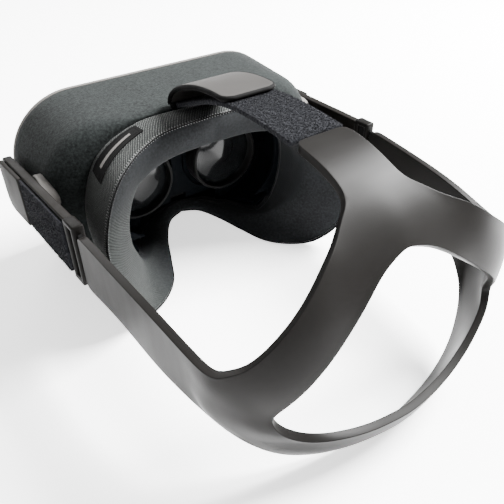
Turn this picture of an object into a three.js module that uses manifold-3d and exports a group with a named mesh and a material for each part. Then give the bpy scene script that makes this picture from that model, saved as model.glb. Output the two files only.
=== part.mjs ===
// Head-mounted display: a fabric-wrapped housing with two sliding lens barrels, a padded
// face cushion, two rigid side arms hinged at the temples, a moulded rubber cradle that
// cups the back of the head, and a hook-and-loop band over the top.
// Millimetres, +X to the wearer's right, +Y the way the wearer looks, +Z up.
// While it is built, y = 0 is the rear rim of the housing and z = 0 is the table.
import * as THREE from 'three';
import { mergeVertices } from 'three/addons/utils/BufferGeometryUtils.js';
import Module from 'manifold-3d';

const wasm = await Module();
wasm.setup();

// ---- driving dimensions ----
const gap = 0.3; // air kept between pieces that touch
const housing = {
  width: 193, height: 104, depth: 58.5, cornerRadius: 42, wall: 3, lift: 1.2,
  shoulderInset: 3.4, rearInset: 19, rearRound: 15, rearCornerRadius: 48,
};
const cover = { bulge: 6.5, wall: 2.4 };
const camera = { radius: 6.5, length: 5, fromSide: 28.5, fromTop: 23, sunk: 0.8 };
const lampSize = { radius: 1.5, length: 3, x: 40, sunk: 0.3 };
const nose = { halfWidth: 45.5, depth: 45 };
const lining = {
  depth: 30, wall: 2, sideClearance: 0.8, start: 3.6, noseHalfWidth: 47, noseHeight: 24,
};
const optics = {
  spacing: 66, barrelRadius: 25, barrelWall: 2.2, barrelLength: 12, travel: 3, belowMiddle: 5.7,
};
const lens = { edge: 2, crown: 4.5 };
const carriage = { width: 54, height: 60, thick: 6, rodRadius: 1.5, rodInset: 3.2 };
const display = { width: 50, height: 56, thick: 2.2 };
const arm = {
  thick: 5, height: 34, front: 57, rear: -38, clearance: 1.9, toeIn: 0.05,
  rise: 7, aboveMiddle: 21.8, topRadius: 4, lowRadius: 9,
};
const pivot = { y: 16, aboveMiddle: 12.8, bossRadius: 12, pinRadius: 5, running: 0.35 };
const loop = { length: 12, bar: 3, over: 1.4 };
const fold = { thick: 1.8, tabThick: 2.6, tabLength: 35, inset: 1.5 };
const cradle = { reach: 187, thick: 4, crown: 6 };
const band = { halfWidth: 15, thick: 2.6, tabThick: 2 };
const pad = { frameThick: 2.4 };
const button = { radius: 3.6, stroke: 0.8, proud: 1 };
const rocker = { length: 26, width: 7, thick: 3, x: 50, y: 49 };
const table = { slot: 0.4 }; // how far the rocker and the slider stay off the table
const jack = { radius: 3.2, bore: 1.8, length: 8, y: 22, z: 27 };
const power = { y: 35, z: 27, length: 5 };
const port = { length: 8, width: 9.4, height: 3.6, y: 36, z: 27 };
const knob = { length: 12, stem: 3, width: 6, thick: 1.4 };
const plate = { thick: 2, blockLength: 7, blockHeight: 8 };
const board = { width: 120, thick: 1.4, height: 60 };
const cell = { width: 56, thick: 4.4, height: 44, x: -30 };
const fan = { radius: 18, thick: 4, x: 34 };
const sensor = { width: 8, thick: 3, height: 5, up: 28 };
const bar = { radius: 1.1, y: -1.2, up: 2.4, foot: 2.4, footDepth: 5, footHeight: 3.2 };
// Sizes at which the free edges further down are written; they are stretched when a size above changes.
const drawn = { width: 193, height: 104, top: 105.2, strapHalfWidth: 96.15, reach: 187 };

// ---- values that follow from them ----
const halfWidth = housing.width / 2;
const halfHeight = housing.height / 2;
const midHeight = housing.lift + halfHeight;
const coverStart = housing.depth + gap;
const topHeight = housing.lift + housing.height;
const armTopAt = (y) => midHeight + arm.aboveMiddle + (arm.rise * (arm.front - y)) / (arm.front - arm.rear);
const armInnerAt = (y) => halfWidth + arm.clearance - arm.toeIn * (arm.front - y);
const pivotHeight = midHeight + pivot.aboveMiddle;
const eyeHeight = midHeight - optics.belowMiddle;
const lampHeight = midHeight + halfHeight - camera.fromTop;
const liningFront = lining.start + lining.depth;
const carriageStart = liningFront + gap;
const carriageMiddle = carriageStart + carriage.thick / 2;
const carriageHeight = (carriage.height * housing.height) / drawn.height;
const displayHeight = (display.height * housing.height) / drawn.height;
const displayEnd = carriageStart + carriage.thick + gap + display.thick;
const plateStart = displayEnd + gap + 0.4;
const holeReach = 50; // long enough to cut through the curved flank from outside
const slotReach = 12; // and the same for the floor of the housing
const sides = [['left', -1], ['right', 1]];

// ---- materials ----
function finish(color, roughness, metalness = 0) {
  return new THREE.MeshStandardMaterial({ color, roughness, metalness });
}

const finishes = {
  fabric: finish(0x3b3f40, 0.95),
  knit: finish(0x3a3c3b, 0.97),
  foam: finish(0x2a2b2c, 0.98),
  shell: finish(0x17181a, 0.35),
  inner: finish(0x0d0f12, 0.7),
  rubber: finish(0x4a4845, 0.5),
  armPlastic: finish(0x4f4a45, 0.5),
  pile: finish(0x28252a, 1),
  tab: finish(0x5a5652, 0.7),
  glass: finish(0x6a6a70, 0.08),
  metal: finish(0xb9babc, 0.35, 0.9),
  board: finish(0x1c4a33, 0.6),
  cell: finish(0x33373c, 0.5),
  screen: finish(0x08090c, 0.1),
};

// ---- geometry helpers ----
const vec = (x, y, z) => new THREE.Vector3(x, y, z);

function solid(points, faces) {
  const geometry = new THREE.BufferGeometry();
  const flat = points.flatMap((p) => [p.x, p.y, p.z]);
  geometry.setAttribute('position', new THREE.Float32BufferAttribute(flat, 3));
  geometry.setIndex(faces.flat());
  return outward(geometry);
}

// Turns every face over when the enclosed volume comes out negative.
function outward(geometry) {
  const p = geometry.attributes.position;
  const index = geometry.index.array;
  const [a, b, c] = [vec(), vec(), vec()];
  let volume = 0;
  for (let i = 0; i < index.length; i += 3) {
    a.fromBufferAttribute(p, index[i]);
    b.fromBufferAttribute(p, index[i + 1]);
    c.fromBufferAttribute(p, index[i + 2]);
    volume += a.dot(b.cross(c));
  }
  if (volume < 0) {
    for (let i = 0; i < index.length; i += 3) [index[i], index[i + 1]] = [index[i + 1], index[i]];
  }
  return geometry;
}

// Skins a row of equal rings. With wrap the last ring joins the first, otherwise both ends are capped.
function loft(rings, wrap = false) {
  const n = rings[0].length;
  const points = rings.flat();
  const faces = [];
  const spans = wrap ? rings.length : rings.length - 1;
  for (let r = 0; r < spans; r++) {
    const s = (r + 1) % rings.length;
    for (let i = 0; i < n; i++) {
      const j = (i + 1) % n;
      faces.push([r * n + i, r * n + j, s * n + j], [r * n + i, s * n + j, s * n + i]);
    }
  }
  if (!wrap) {
    for (const r of [0, rings.length - 1]) {
      const middle = rings[r].reduce((sum, p) => sum.add(p), vec()).divideScalar(n);
      points.push(middle);
      for (let i = 0; i < n; i++) {
        const [p, q] = r === 0 ? [i + 1, i] : [i, i + 1];
        faces.push([r * n + (p % n), r * n + (q % n), points.length - 1]);
      }
    }
  }
  return solid(points, faces);
}

// Gives an open surface a thickness along its own normals and closes its free edges.
function thicken(points, faces, thickness) {
  const surface = new THREE.BufferGeometry();
  const flat = points.flatMap((p) => [p.x, p.y, p.z]);
  surface.setAttribute('position', new THREE.Float32BufferAttribute(flat, 3));
  surface.setIndex(faces.flat());
  surface.computeVertexNormals();
  const normals = surface.attributes.normal;
  const normalAt = (i) => vec().fromBufferAttribute(normals, i);
  const shifted = (side) => points.map((p, i) => p.clone().addScaledVector(normalAt(i), side));
  const count = points.length;
  const out = faces.map(([a, b, c]) => [a, b, c]);
  for (const [a, b, c] of faces) out.push([b + count, a + count, c + count]);
  const edges = new Map();
  for (const [a, b, c] of faces) {
    for (const [p, q] of [[a, b], [b, c], [c, a]]) {
      if (edges.has(`${q},${p}`)) edges.delete(`${q},${p}`);
      else edges.set(`${p},${q}`, [p, q]);
    }
  }
  for (const [p, q] of edges.values()) out.push([q, p, p + count], [q, p + count, q + count]);
  return solid([...shifted(thickness / 2), ...shifted(-thickness / 2)], out);
}

// Rectangle with round corners in the XZ plane at depth y, the same number of points whatever its size.
function outline(y, w, h, radius, cornerSteps = 6, centreZ = midHeight) {
  const ring = [];
  const r = Math.min(radius, w, h);
  for (let corner = 0; corner < 4; corner++) {
    const sx = corner === 0 || corner === 3 ? 1 : -1;
    const sz = corner < 2 ? 1 : -1;
    for (let k = 0; k <= cornerSteps; k++) {
      const angle = ((corner + k / cornerSteps) * Math.PI) / 2;
      ring.push(vec(sx * (w - r) + r * Math.cos(angle), y, centreZ + sz * (h - r) + r * Math.sin(angle)));
    }
  }
  return ring;
}

// A bent strip: each station of the path gives the middle of the strip, which runs across along X.
function strip(path, halfAcross, thickness, across = 3) {
  const points = [];
  const faces = [];
  path.forEach((p) => {
    for (let k = 0; k <= across; k++) points.push(vec(p.x + halfAcross * ((2 * k) / across - 1), p.y, p.z));
  });
  for (let r = 0; r + 1 < path.length; r++) {
    for (let k = 0; k < across; k++) {
      const a = r * (across + 1) + k;
      const b = a + across + 1;
      faces.push([a, a + 1, b + 1], [a, b + 1, b]);
    }
  }
  return thicken(points, faces, thickness);
}

const smooth = (points, steps) => new THREE.CatmullRomCurve3(points, false, 'centripetal').getPoints(steps);

function cylinder(radius, length, axis = 'y', segments = 24) {
  const geometry = new THREE.CylinderGeometry(radius, radius, length, segments);
  if (axis === 'x') geometry.rotateZ(-Math.PI / 2);
  if (axis === 'z') geometry.rotateX(Math.PI / 2);
  return geometry;
}

const box = (x, y, z) => new THREE.BoxGeometry(x, y, z);

function toManifold(geometry) {
  const bare = geometry.clone();
  bare.deleteAttribute('normal');
  bare.deleteAttribute('uv');
  const merged = mergeVertices(bare, 1e-4);
  const vertProperties = new Float32Array(merged.attributes.position.array);
  const triVerts = new Uint32Array(merged.index.array);
  return new wasm.Manifold(new wasm.Mesh({ numProp: 3, vertProperties, triVerts }));
}

function fromManifold(body) {
  const mesh = body.getMesh();
  const geometry = new THREE.BufferGeometry();
  geometry.setAttribute('position', new THREE.BufferAttribute(new Float32Array(mesh.vertProperties), 3));
  geometry.setIndex(new THREE.BufferAttribute(new Uint32Array(mesh.triVerts), 1));
  return geometry;
}

function cut(base, ...tools) {
  return fromManifold(tools.reduce((body, tool) => body.subtract(toManifold(tool)), toManifold(base)));
}

// What of the first shape lies inside the second.
function keep(base, room) {
  return fromManifold(toManifold(base).intersect(toManifold(room)));
}

function join(base, ...others) {
  return fromManifold(others.reduce((body, other) => body.add(toManifold(other)), toManifold(base)));
}

// ---- the assembly ----
const headset = new THREE.Group();

function add(name, geometry, material) {
  const mesh = new THREE.Mesh(geometry, material);
  mesh.name = name;
  headset.add(mesh);
  return mesh;
}

// ---- housing ----
// Half-width, half-height and corner radius of the wrapped wall, taken a distance inset inside it.
function housingSection(y, inset) {
  const rear = Math.max(0, 1 - y / housing.rearRound);
  const round = 1 - Math.sqrt(Math.max(0, 1 - rear * rear));
  const taper = housing.shoulderInset * (1 - y / housing.depth);
  const w = halfWidth - taper - (housing.rearInset - housing.shoulderInset) * round - inset;
  const h = halfHeight - 1.5 * round - inset;
  const corner = housing.cornerRadius + (housing.rearCornerRadius - housing.cornerRadius) * round;
  return [w, h, Math.min(corner, h) - 0.5];
}

const housingStations = [0, 0.1, 0.3, 0.6, 1].map((share) => share * housing.rearRound);

function noseCutter(drawnHalf, depth, top) {
  const halfAcross = (drawnHalf * housing.width) / drawn.width;
  const shape = new THREE.Shape();
  shape.moveTo(halfAcross, -12);
  shape.lineTo(halfAcross, 0);
  shape.absellipse(0, 0, halfAcross, depth, 0, Math.PI, false, 0);
  shape.lineTo(-halfAcross, -12);
  const tool = new THREE.ExtrudeGeometry(shape, { depth: top + 10, bevelEnabled: false, curveSegments: 20 });
  tool.translate(0, 0, -10);
  return tool;
}

function housingShell() {
  const ys = [...housingStations, housing.depth];
  const outer = ys.map((y) => outline(y, ...housingSection(y, 0)));
  const inner = ys.map((y) => outline(y, ...housingSection(y, housing.wall))).reverse();
  const wall = loft([...outer, ...inner], true);
  const tools = [noseCutter(nose.halfWidth, nose.depth, lining.noseHeight)];
  for (const [, sx] of sides) {
    const boss = cylinder(pivot.bossRadius + gap, holeReach, 'x', 32);
    boss.translate(sx * halfWidth, pivot.y, pivotHeight);
    tools.push(boss);
    const socket = cylinder(jack.radius + gap, holeReach, 'x');
    socket.translate(sx * halfWidth, jack.y, jack.z);
    tools.push(socket);
  }
  const powerHole = cylinder(button.radius + gap, holeReach, 'x');
  powerHole.translate(halfWidth, power.y, power.z);
  const portHole = box(holeReach, port.width + 2 * gap, port.height + 2 * gap);
  portHole.translate(-halfWidth, port.y, port.z);
  const volumeSlot = box(rocker.length + 4 * gap, rocker.width + 4 * gap, slotReach);
  volumeSlot.translate(rocker.x, rocker.y, housing.lift);
  const sliderSlot = box(knob.length + 2 * optics.travel + 4 * gap, knob.width + 4 * gap, slotReach);
  sliderSlot.translate(-optics.spacing / 2, carriageMiddle, housing.lift);
  return cut(wall, ...tools, powerHole, portHole, volumeSlot, sliderSlot);
}

// Half-width of the wrapped wall at a height, on the straight flank in front of the round rear edge.
function flankAt(y, z) {
  const [w, , r] = housingSection(y, 0);
  const rise = Math.max(0, Math.abs(z - midHeight) - (halfHeight - r));
  return w - r + Math.sqrt(r * r - rise * rise);
}

function frontCover() {
  const bulge = [[0, 0.6], [0.35, 0.9], [0.65, 3], [0.85, 8], [0.96, 17], [1, 30]];
  const outer = bulge.map(([share, inset]) => {
    const r = Math.max(housing.cornerRadius - inset, 8);
    return outline(coverStart + share * cover.bulge, halfWidth - inset, halfHeight - inset, r);
  });
  const inner = bulge.filter((_, i) => i !== 1 && i !== 3).map(([share, inset]) => {
    const r = Math.max(housing.cornerRadius - inset - cover.wall, 7);
    const y = coverStart + share * (cover.bulge - cover.wall);
    return outline(y, halfWidth - inset - cover.wall, halfHeight - inset - cover.wall, r);
  });
  const dish = loft([...inner.reverse(), ...outer]);
  const holes = cameraPlaces().map(({ x, z }) => {
    const hole = cylinder(camera.radius + gap, 20);
    hole.translate(x, coverStart + cover.bulge, z);
    return hole;
  });
  const lamp = cylinder(lampSize.radius + gap, 20, 'y', 12);
  lamp.translate(lampSize.x, coverStart + cover.bulge, lampHeight);
  return cut(dish, ...holes, lamp);
}

function cameraPlaces() {
  const x = halfWidth - camera.fromSide;
  const z = halfHeight - camera.fromTop;
  const places = [];
  for (const [side, sx] of sides) {
    for (const [level, sz] of [['upper', 1], ['lower', -1]]) {
      places.push({ name: `camera_${level}_${side}`, x: sx * x, z: midHeight + sz * z });
    }
  }
  return places;
}

function addHousing() {
  add('housing_shell', housingShell(), finishes.fabric);
  add('front_cover', frontCover(), finishes.shell);
  const face = coverStart + cover.bulge;
  for (const { name, x, z } of cameraPlaces()) {
    const module = cylinder(camera.radius, camera.length, 'y', 20);
    module.translate(x, face - camera.sunk - camera.length / 2, z);
    add(name, module, finishes.glass);
  }
  const lamp = cylinder(lampSize.radius, lampSize.length, 'y', 12);
  lamp.translate(lampSize.x, face - lampSize.sunk - lampSize.length / 2, lampHeight);
  add('status_lamp', lamp, finishes.glass);
}

// ---- controls and sockets ----
function addControls() {
  const cap = cylinder(button.radius, power.length, 'x');
  cap.translate(flankAt(power.y, power.z) + button.proud - power.length / 2, power.y, power.z);
  add('power_button', cap, finishes.shell);

  const wing = box(rocker.length, rocker.width, rocker.thick);
  wing.translate(rocker.x, rocker.y, rocker.thick / 2 + table.slot);
  add('volume_rocker', wing, finishes.shell);

  const mouth = box(port.length, port.width - 1.4, port.height - 1.2).translate(-1.5, 0, 0);
  const socket = cut(box(port.length, port.width, port.height), mouth);
  socket.translate(port.length / 2 - 0.2 - flankAt(port.y, port.z), port.y, port.z);
  add('charging_port', socket, finishes.metal);

  for (const [side, sx] of sides) {
    const hole = cylinder(jack.bore, jack.length, 'x', 16).translate(sx * 1.5, 0, 0);
    const barrelShape = cut(cylinder(jack.radius, jack.length, 'x'), hole);
    barrelShape.translate(sx * (flankAt(jack.y, jack.z) - jack.length / 2 + 0.2), jack.y, jack.z);
    add(`audio_jack_${side}`, barrelShape, finishes.shell);
  }
}

// ---- optics: two carriages on shared rods, each with its barrel, lens and display ----
function carriagePlate() {
  const h = eyeHeight;
  const body = box(carriage.width, carriage.thick, carriageHeight).translate(0, 0, h);
  const tools = [cylinder(optics.barrelRadius - optics.barrelWall, 20).translate(0, 0, h)];
  for (const sz of [-1, 1]) {
    const z = h + sz * (carriageHeight / 2 - carriage.rodInset);
    tools.push(cylinder(carriage.rodRadius + gap, carriage.width + 10, 'x', 12).translate(0, 0, z));
  }
  return cut(body, ...tools).translate(0, carriageMiddle, 0);
}

function barrel() {
  const r = optics.barrelRadius;
  const t = optics.barrelWall;
  const seat = r - t;
  const end = optics.barrelLength;
  const profile = [[seat, 0], [r, 0], [r, end - 2], [r - 1, end - 0.4], [r - 1.8, end], [seat, end - 1]];
  const points = profile.map(([radius, y]) => new THREE.Vector2(radius, y));
  const geometry = new THREE.LatheGeometry([...points, points[0]], 32);
  // The lathe turns about Y; the rear rim is the end that points towards the eye.
  return geometry.rotateX(Math.PI).translate(0, carriageStart - gap, eyeHeight);
}

function lensBody() {
  const r = optics.barrelRadius - optics.barrelWall - gap;
  const profile = [[0, 0], [r, 0], [r, lens.edge]];
  for (const share of [0.8, 0.55, 0.3, 0]) {
    profile.push([r * share, lens.edge + lens.crown * (1 - share * share)]);
  }
  const points = profile.map(([radius, y]) => new THREE.Vector2(radius, y));
  const rim = carriageStart - optics.barrelLength;
  return new THREE.LatheGeometry(points, 32).rotateX(Math.PI)
    .translate(0, rim + lens.edge + lens.crown + 1.2, eyeHeight);
}

function addOptics() {
  for (const [side, sx] of sides) {
    const x = (sx * optics.spacing) / 2;
    add(`carriage_${side}`, carriagePlate().translate(x, 0, 0), finishes.inner);
    add(`lens_barrel_${side}`, barrel().translate(x, 0, 0), finishes.inner);
    add(`lens_${side}`, lensBody().translate(x, 0, 0), finishes.glass);
    const panel = box(display.width, display.thick, displayHeight);
    panel.translate(x, carriageStart + carriage.thick + gap + display.thick / 2, eyeHeight);
    add(`display_${side}`, panel, finishes.screen);
  }
  const rodEnd = optics.spacing / 2 + carriage.width / 2 + optics.travel + 6;
  for (const [level, sz] of [['upper', 1], ['lower', -1]]) {
    const rod = cylinder(carriage.rodRadius, 2 * rodEnd, 'x', 12);
    rod.translate(0, carriageMiddle, eyeHeight + sz * (carriageHeight / 2 - carriage.rodInset));
    add(`guide_rod_${level}`, rod, finishes.metal);
  }
  const x = -optics.spacing / 2;
  const stemTop = eyeHeight - carriageHeight / 2 - gap;
  const grip = box(knob.length, knob.width, knob.thick).translate(x, carriageMiddle, knob.thick / 2);
  const stem = box(knob.length - 4, knob.stem, stemTop - table.slot);
  stem.translate(x, carriageMiddle, (stemTop + table.slot) / 2);
  add('spacing_slider', join(grip, stem), finishes.shell);
}

// ---- inside: eye cavity, frame, boards ----
function liningSection(inset) {
  const [w, h, r] = housingSection(0, housing.wall + lining.sideClearance + inset);
  return [w, h, r];
}

function eyeCavity() {
  const outer = [lining.start, liningFront].map((y) => outline(y, ...liningSection(0)));
  const inner = [liningFront - lining.wall, lining.start].map((y) => outline(y, ...liningSection(lining.wall)));
  const dish = loft([...inner, ...outer]);
  const tools = [noseCutter(lining.noseHalfWidth, lining.depth + 14, lining.noseHeight)];
  for (const [, sx] of sides) {
    const reach = optics.travel + 0.6;
    const slot = new THREE.Shape();
    const r = optics.barrelRadius + 0.6;
    slot.absarc(reach, 0, r, -Math.PI / 2, Math.PI / 2, false);
    slot.absarc(-reach, 0, r, Math.PI / 2, (3 * Math.PI) / 2, false);
    const tool = new THREE.ExtrudeGeometry(slot, { depth: 30, bevelEnabled: false, curveSegments: 16 });
    tool.rotateX(Math.PI / 2).translate((sx * optics.spacing) / 2, liningFront + 15, eyeHeight);
    tools.push(tool);
  }
  return cut(dish, ...tools);
}

function chassis() {
  const [w, h, r] = housingSection(housing.rearRound, housing.wall + 1);
  const sheet = loft([outline(plateStart, w, h, r), outline(plateStart + plate.thick, w, h, r)]);
  const rodEnd = optics.spacing / 2 + carriage.width / 2 + optics.travel;
  const depth = plateStart + 1 - carriageStart;
  const posts = [];
  const bores = [];
  for (const sz of [-1, 1]) {
    const z = eyeHeight + sz * (carriageHeight / 2 - carriage.rodInset);
    for (const [, sx] of sides) {
      const post = box(plate.blockLength, depth, plate.blockHeight);
      post.translate(sx * (rodEnd + 1.5 + plate.blockLength / 2), carriageStart + depth / 2, z);
      posts.push(post);
    }
    const bore = cylinder(carriage.rodRadius + gap, 2 * (rodEnd + 6.3), 'x', 12);
    bores.push(bore.translate(0, carriageMiddle, z));
  }
  const room = loft([outline(carriageStart, w, h, r), outline(plateStart + plate.thick, w, h, r)]);
  return cut(keep(join(sheet, ...posts), room), ...bores);
}

function addInside() {
  add('eye_cavity', eyeCavity(), finishes.inner);
  add('chassis', chassis(), finishes.inner);
  const start = plateStart + plate.thick + gap;
  const onBoard = start + board.thick + gap;
  const circuit = box(board.width, board.thick, board.height);
  add('main_board', circuit.translate(0, start + board.thick / 2, midHeight), finishes.board);
  const pack = box(cell.width, cell.thick, cell.height);
  add('battery', pack.translate(cell.x, onBoard + cell.thick / 2, midHeight), finishes.cell);
  const blower = cylinder(fan.radius, fan.thick, 'y', 28);
  add('cooling_fan', blower.translate(fan.x, onBoard + fan.thick / 2, midHeight), finishes.shell);
  const window = box(sensor.width, sensor.thick, sensor.height);
  window.translate(0, liningFront - lining.wall - gap - sensor.thick / 2, midHeight + sensor.up);
  add('wear_sensor', window, finishes.glass);
}

// ---- face cushion: four edges run round the face opening, from the forehead down to the nose ----
// base = outer edge at the housing, seam = outer rear edge, lip = edge round the eyes, root = inner edge.
const cushionEdges = {
  base: [[0, -1, 103], [40, -1, 102], [64, -1, 90], [75.5, -1, 66], [76.5, -1, 40], [69, -1, 19],
    [53, -1, 6.5], [38, -1.5, 3], [32.5, 5, 1.8], [28, 18, 1.8], [21, 29, 2.6], [11, 38, 4.4], [0, 41, 5.4]],
  seam: [[0, -20, 104], [38, -24, 103], [67, -37, 92], [82, -46, 66], [83, -52, 40], [77, -52, 16],
    [63, -45, 3], [48, -36, 0.6], [36, -23, 0.6], [28, -5, 2.4], [20.5, 13, 5], [11, 26, 8], [0, 30, 9.5]],
  lip: [[0, -18, 86], [31, -20, 85], [52, -25, 79], [61, -28, 63], [62, -28, 46], [57, -24, 30],
    [50, -13, 16.5], [42, -3, 10], [35, 8, 8], [28, 19, 9], [20, 28, 11.5], [10, 34, 14.5], [0, 36.5, 15.5]],
  root: [[0, -1, 84], [33, -1, 83], [53, -1, 77], [62, -1, 62], [63, -1, 45], [60, -1, 29],
    [53, -1, 16], [46, 0.5, 10.5], [42, 13, 6.4], [36.5, 23, 6.4], [27.5, 32.5, 7.4], [15, 39.5, 9.5], [0, 42.5, 11]],
};

function cushionRing(points, steps) {
  const half = smooth(points.map(([x, y, z]) => {
    const across = (x * housing.width) / drawn.width;
    return vec(across, y, (z * topHeight) / drawn.top);
  }), steps);
  const mirrored = half.slice(1, -1).reverse().map((p) => vec(-p.x, p.y, p.z));
  return [...half, ...mirrored];
}

function cushion(steps) {
  const edges = ['base', 'seam', 'lip', 'root'];
  const [base, seam, lip, root] = edges.map((edge) => cushionRing(cushionEdges[edge], steps));
  const crown = seam.map((p, i) => p.clone().lerp(lip[i], 0.45).add(vec(0, -2.5, 0)));
  const belly = base.map((p, i) => p.clone().lerp(seam[i], 0.5).add(outwardFrom(p, 1.2)));
  return loft([base, belly, seam, crown, lip, root], true);
}

// A step away from the middle of the face, kept within the plane of the opening.
function outwardFrom(p, distance) {
  const away = vec(p.x, 0, p.z - midHeight).setLength(distance);
  return p.z < 8 ? vec(0, 0, 0) : away;
}

function cushionFrame() {
  const y = gap;
  const [w, h, r] = housingSection(0, housing.wall + gap);
  const plate = loft([outline(y, w, h, r), outline(y + pad.frameThick, w, h, r)]);
  const opening = loft([-10, 20].map((depth) => outline(depth, 60, 34, 30, 6, midHeight + 2)));
  return cut(plate, opening, noseCutter(lining.noseHalfWidth + 8, 30, lining.noseHeight));
}

function addCushion() {
  add('face_cushion', cushion(26), finishes.knit);
  add('cushion_frame', cushionFrame(), finishes.shell);
}

// ---- arms: a rigid blade each side, hinged on a boss at the temple, with a loop at its rear end ----
function armOutline(rear, front, inset) {
  const shape = new THREE.Shape();
  const top = (y) => armTopAt(y) - inset;
  const low = (y) => armTopAt(y) - arm.height + inset;
  shape.moveTo(rear, top(rear));
  shape.lineTo(front - arm.topRadius, top(front));
  shape.quadraticCurveTo(front, top(front), front, top(front) - arm.topRadius);
  shape.lineTo(front, low(front) + arm.lowRadius);
  shape.quadraticCurveTo(front, low(front), front - arm.lowRadius, low(front));
  shape.lineTo(rear, low(rear));
  return shape;
}

// Stands a drawn side view upright at one flank, leaning with the arm.
function flank(shape, thick, start, sx) {
  const geometry = new THREE.ExtrudeGeometry(shape, { depth: thick, bevelEnabled: false, curveSegments: 5 });
  const p = geometry.attributes.position;
  for (let i = 0; i < p.count; i++) {
    const [y, z, depth] = [p.getX(i), p.getY(i), p.getZ(i)];
    p.setXYZ(i, sx * (armInnerAt(y) + start + depth), y, z);
  }
  const merged = mergeVertices(stripped(geometry), 1e-4);
  return outward(merged);
}

function stripped(geometry) {
  const bare = geometry.clone();
  bare.deleteAttribute('normal');
  bare.deleteAttribute('uv');
  return bare;
}

function armBlade(sx) {
  const blade = flank(armOutline(arm.rear, arm.front, 0), arm.thick, 0, sx);
  const bore = cylinder(pivot.pinRadius + pivot.running, 30, 'x');
  bore.translate(sx * armInnerAt(pivot.y), pivot.y, pivotHeight);
  return cut(blade, bore);
}

function armLoop(sx) {
  const rear = arm.rear - gap - loop.length;
  const front = arm.rear - gap;
  const frame = (y0, y1, grow) => {
    const shape = new THREE.Shape();
    shape.moveTo(y0, armTopAt(y0) + grow);
    shape.lineTo(y1, armTopAt(y1) + grow);
    shape.lineTo(y1, armTopAt(y1) - arm.height - grow);
    shape.lineTo(y0, armTopAt(y0) - arm.height - grow);
    return shape;
  };
  const outside = flank(frame(rear, front, loop.over), arm.thick + loop.over, -0.4, sx);
  const opening = frame(rear + loop.bar, front - loop.bar, loop.over - loop.bar);
  return cut(outside, flank(opening, arm.thick + 20, -10, sx));
}

function pivotBoss(sx) {
  const inner = flankAt(pivot.y, pivotHeight) - 8;
  const face = armInnerAt(pivot.y) - arm.clearance / 3;
  const drum = cylinder(pivot.bossRadius, face - inner, 'x', 32).translate(sx * (face + inner) / 2, 0, 0);
  const pinEnd = armInnerAt(pivot.y) + arm.thick - 0.6;
  const pin = cylinder(pivot.pinRadius, pinEnd - inner, 'x').translate(sx * (pinEnd + inner) / 2, 0, 0);
  return join(drum, pin).translate(0, pivot.y, pivotHeight);
}

function addArms() {
  const patchFront = arm.front - fold.tabLength;
  for (const [side, sx] of sides) {
    add(`pivot_boss_${side}`, pivotBoss(sx), finishes.metal);
    add(`arm_${side}`, armBlade(sx), finishes.armPlastic);
    add(`strap_loop_${side}`, armLoop(sx), finishes.armPlastic);
    const patchShape = new THREE.Shape();
    const [back, front] = [arm.rear + gap, patchFront - gap];
    patchShape.moveTo(back, armTopAt(back) - fold.inset);
    patchShape.lineTo(front, armTopAt(front) - fold.inset);
    patchShape.lineTo(front, armTopAt(front) - arm.height + fold.inset);
    patchShape.lineTo(back, armTopAt(back) - arm.height + fold.inset);
    add(`side_pile_${side}`, flank(patchShape, fold.thick, arm.thick + gap, sx), finishes.pile);
    const tabShape = armOutline(patchFront, arm.front - 1, fold.inset / 2);
    add(`side_tab_${side}`, flank(tabShape, fold.tabThick, arm.thick + gap, sx), finishes.tab);
  }
}

// ---- rear cradle: one moulded piece, two loops round the back of the head ----
// Each station pairs a point on the edge of the opening with the point across the rubber from it,
// from the crown of the head round the right side to the nape.
const cradleStations = [
  [[0, -165, 104], [0, -143, 121]],
  [[14, -167.5, 99.5], [15, -144, 120]],
  [[26, -171.5, 92], [29, -154, 112.5]],
  [[37, -174, 83.5], [41, -161, 107.5]],
  [[47, -175.5, 75.5], [53, -165.5, 99]],
  [[56, -175, 67], [66, -166.5, 89]],
  [[63, -172.5, 59], [77, -163, 79]],
  [[67, -169.5, 52], [86, -155.5, 74]],
  [[67.5, -169.5, 47.5], [86, -150, 58]],
  [[64, -173, 41], [84.5, -146, 41]],
  [[54, -177, 33], [77, -153, 29]],
  [[40, -181, 27.5], [60, -165, 13]],
  [[21, -185, 24], [32, -174, 3.2]],
  [[0, -187, 23], [0, -178.5, 0.4]],
];
const branchStation = 1; // the top branch leaves the ring between station 0 and this one
const strapStations = [7, 10]; // the side straps leave it between these two
const ringSteps = 2; // facets between two stations
const ringAcross = 4; // facets from the opening to the outer edge

// Edges of one side strap from the ring forward to the arm, as pairs of top and bottom points.
const sideStrap = [
  [[88, -143, 75.5], [85, -139, 40]],
  [[91, -117, 79], [90, -119, 45.5]],
  [[94, -82, 80.5], [93, -83, 48.5]],
  [[96, -52, 81], [96, -52, 47.5]],
];
// Half-width, y and z of the top branch from the ring forward to the band.
const topBranch = [[14.5, -134, 124.5], [14.5, -121, 127.6], [14.8, -109, 128.4]];

const strapHalfWidth = armInnerAt(arm.rear) + arm.thick / 2;
const stretched = ([x, y, z]) => vec(
  (x * strapHalfWidth) / drawn.strapHalfWidth,
  y < arm.rear ? arm.rear + ((y - arm.rear) * (cradle.reach + arm.rear)) / (drawn.reach + arm.rear) : y,
  (z * topHeight) / drawn.top,
);

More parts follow.
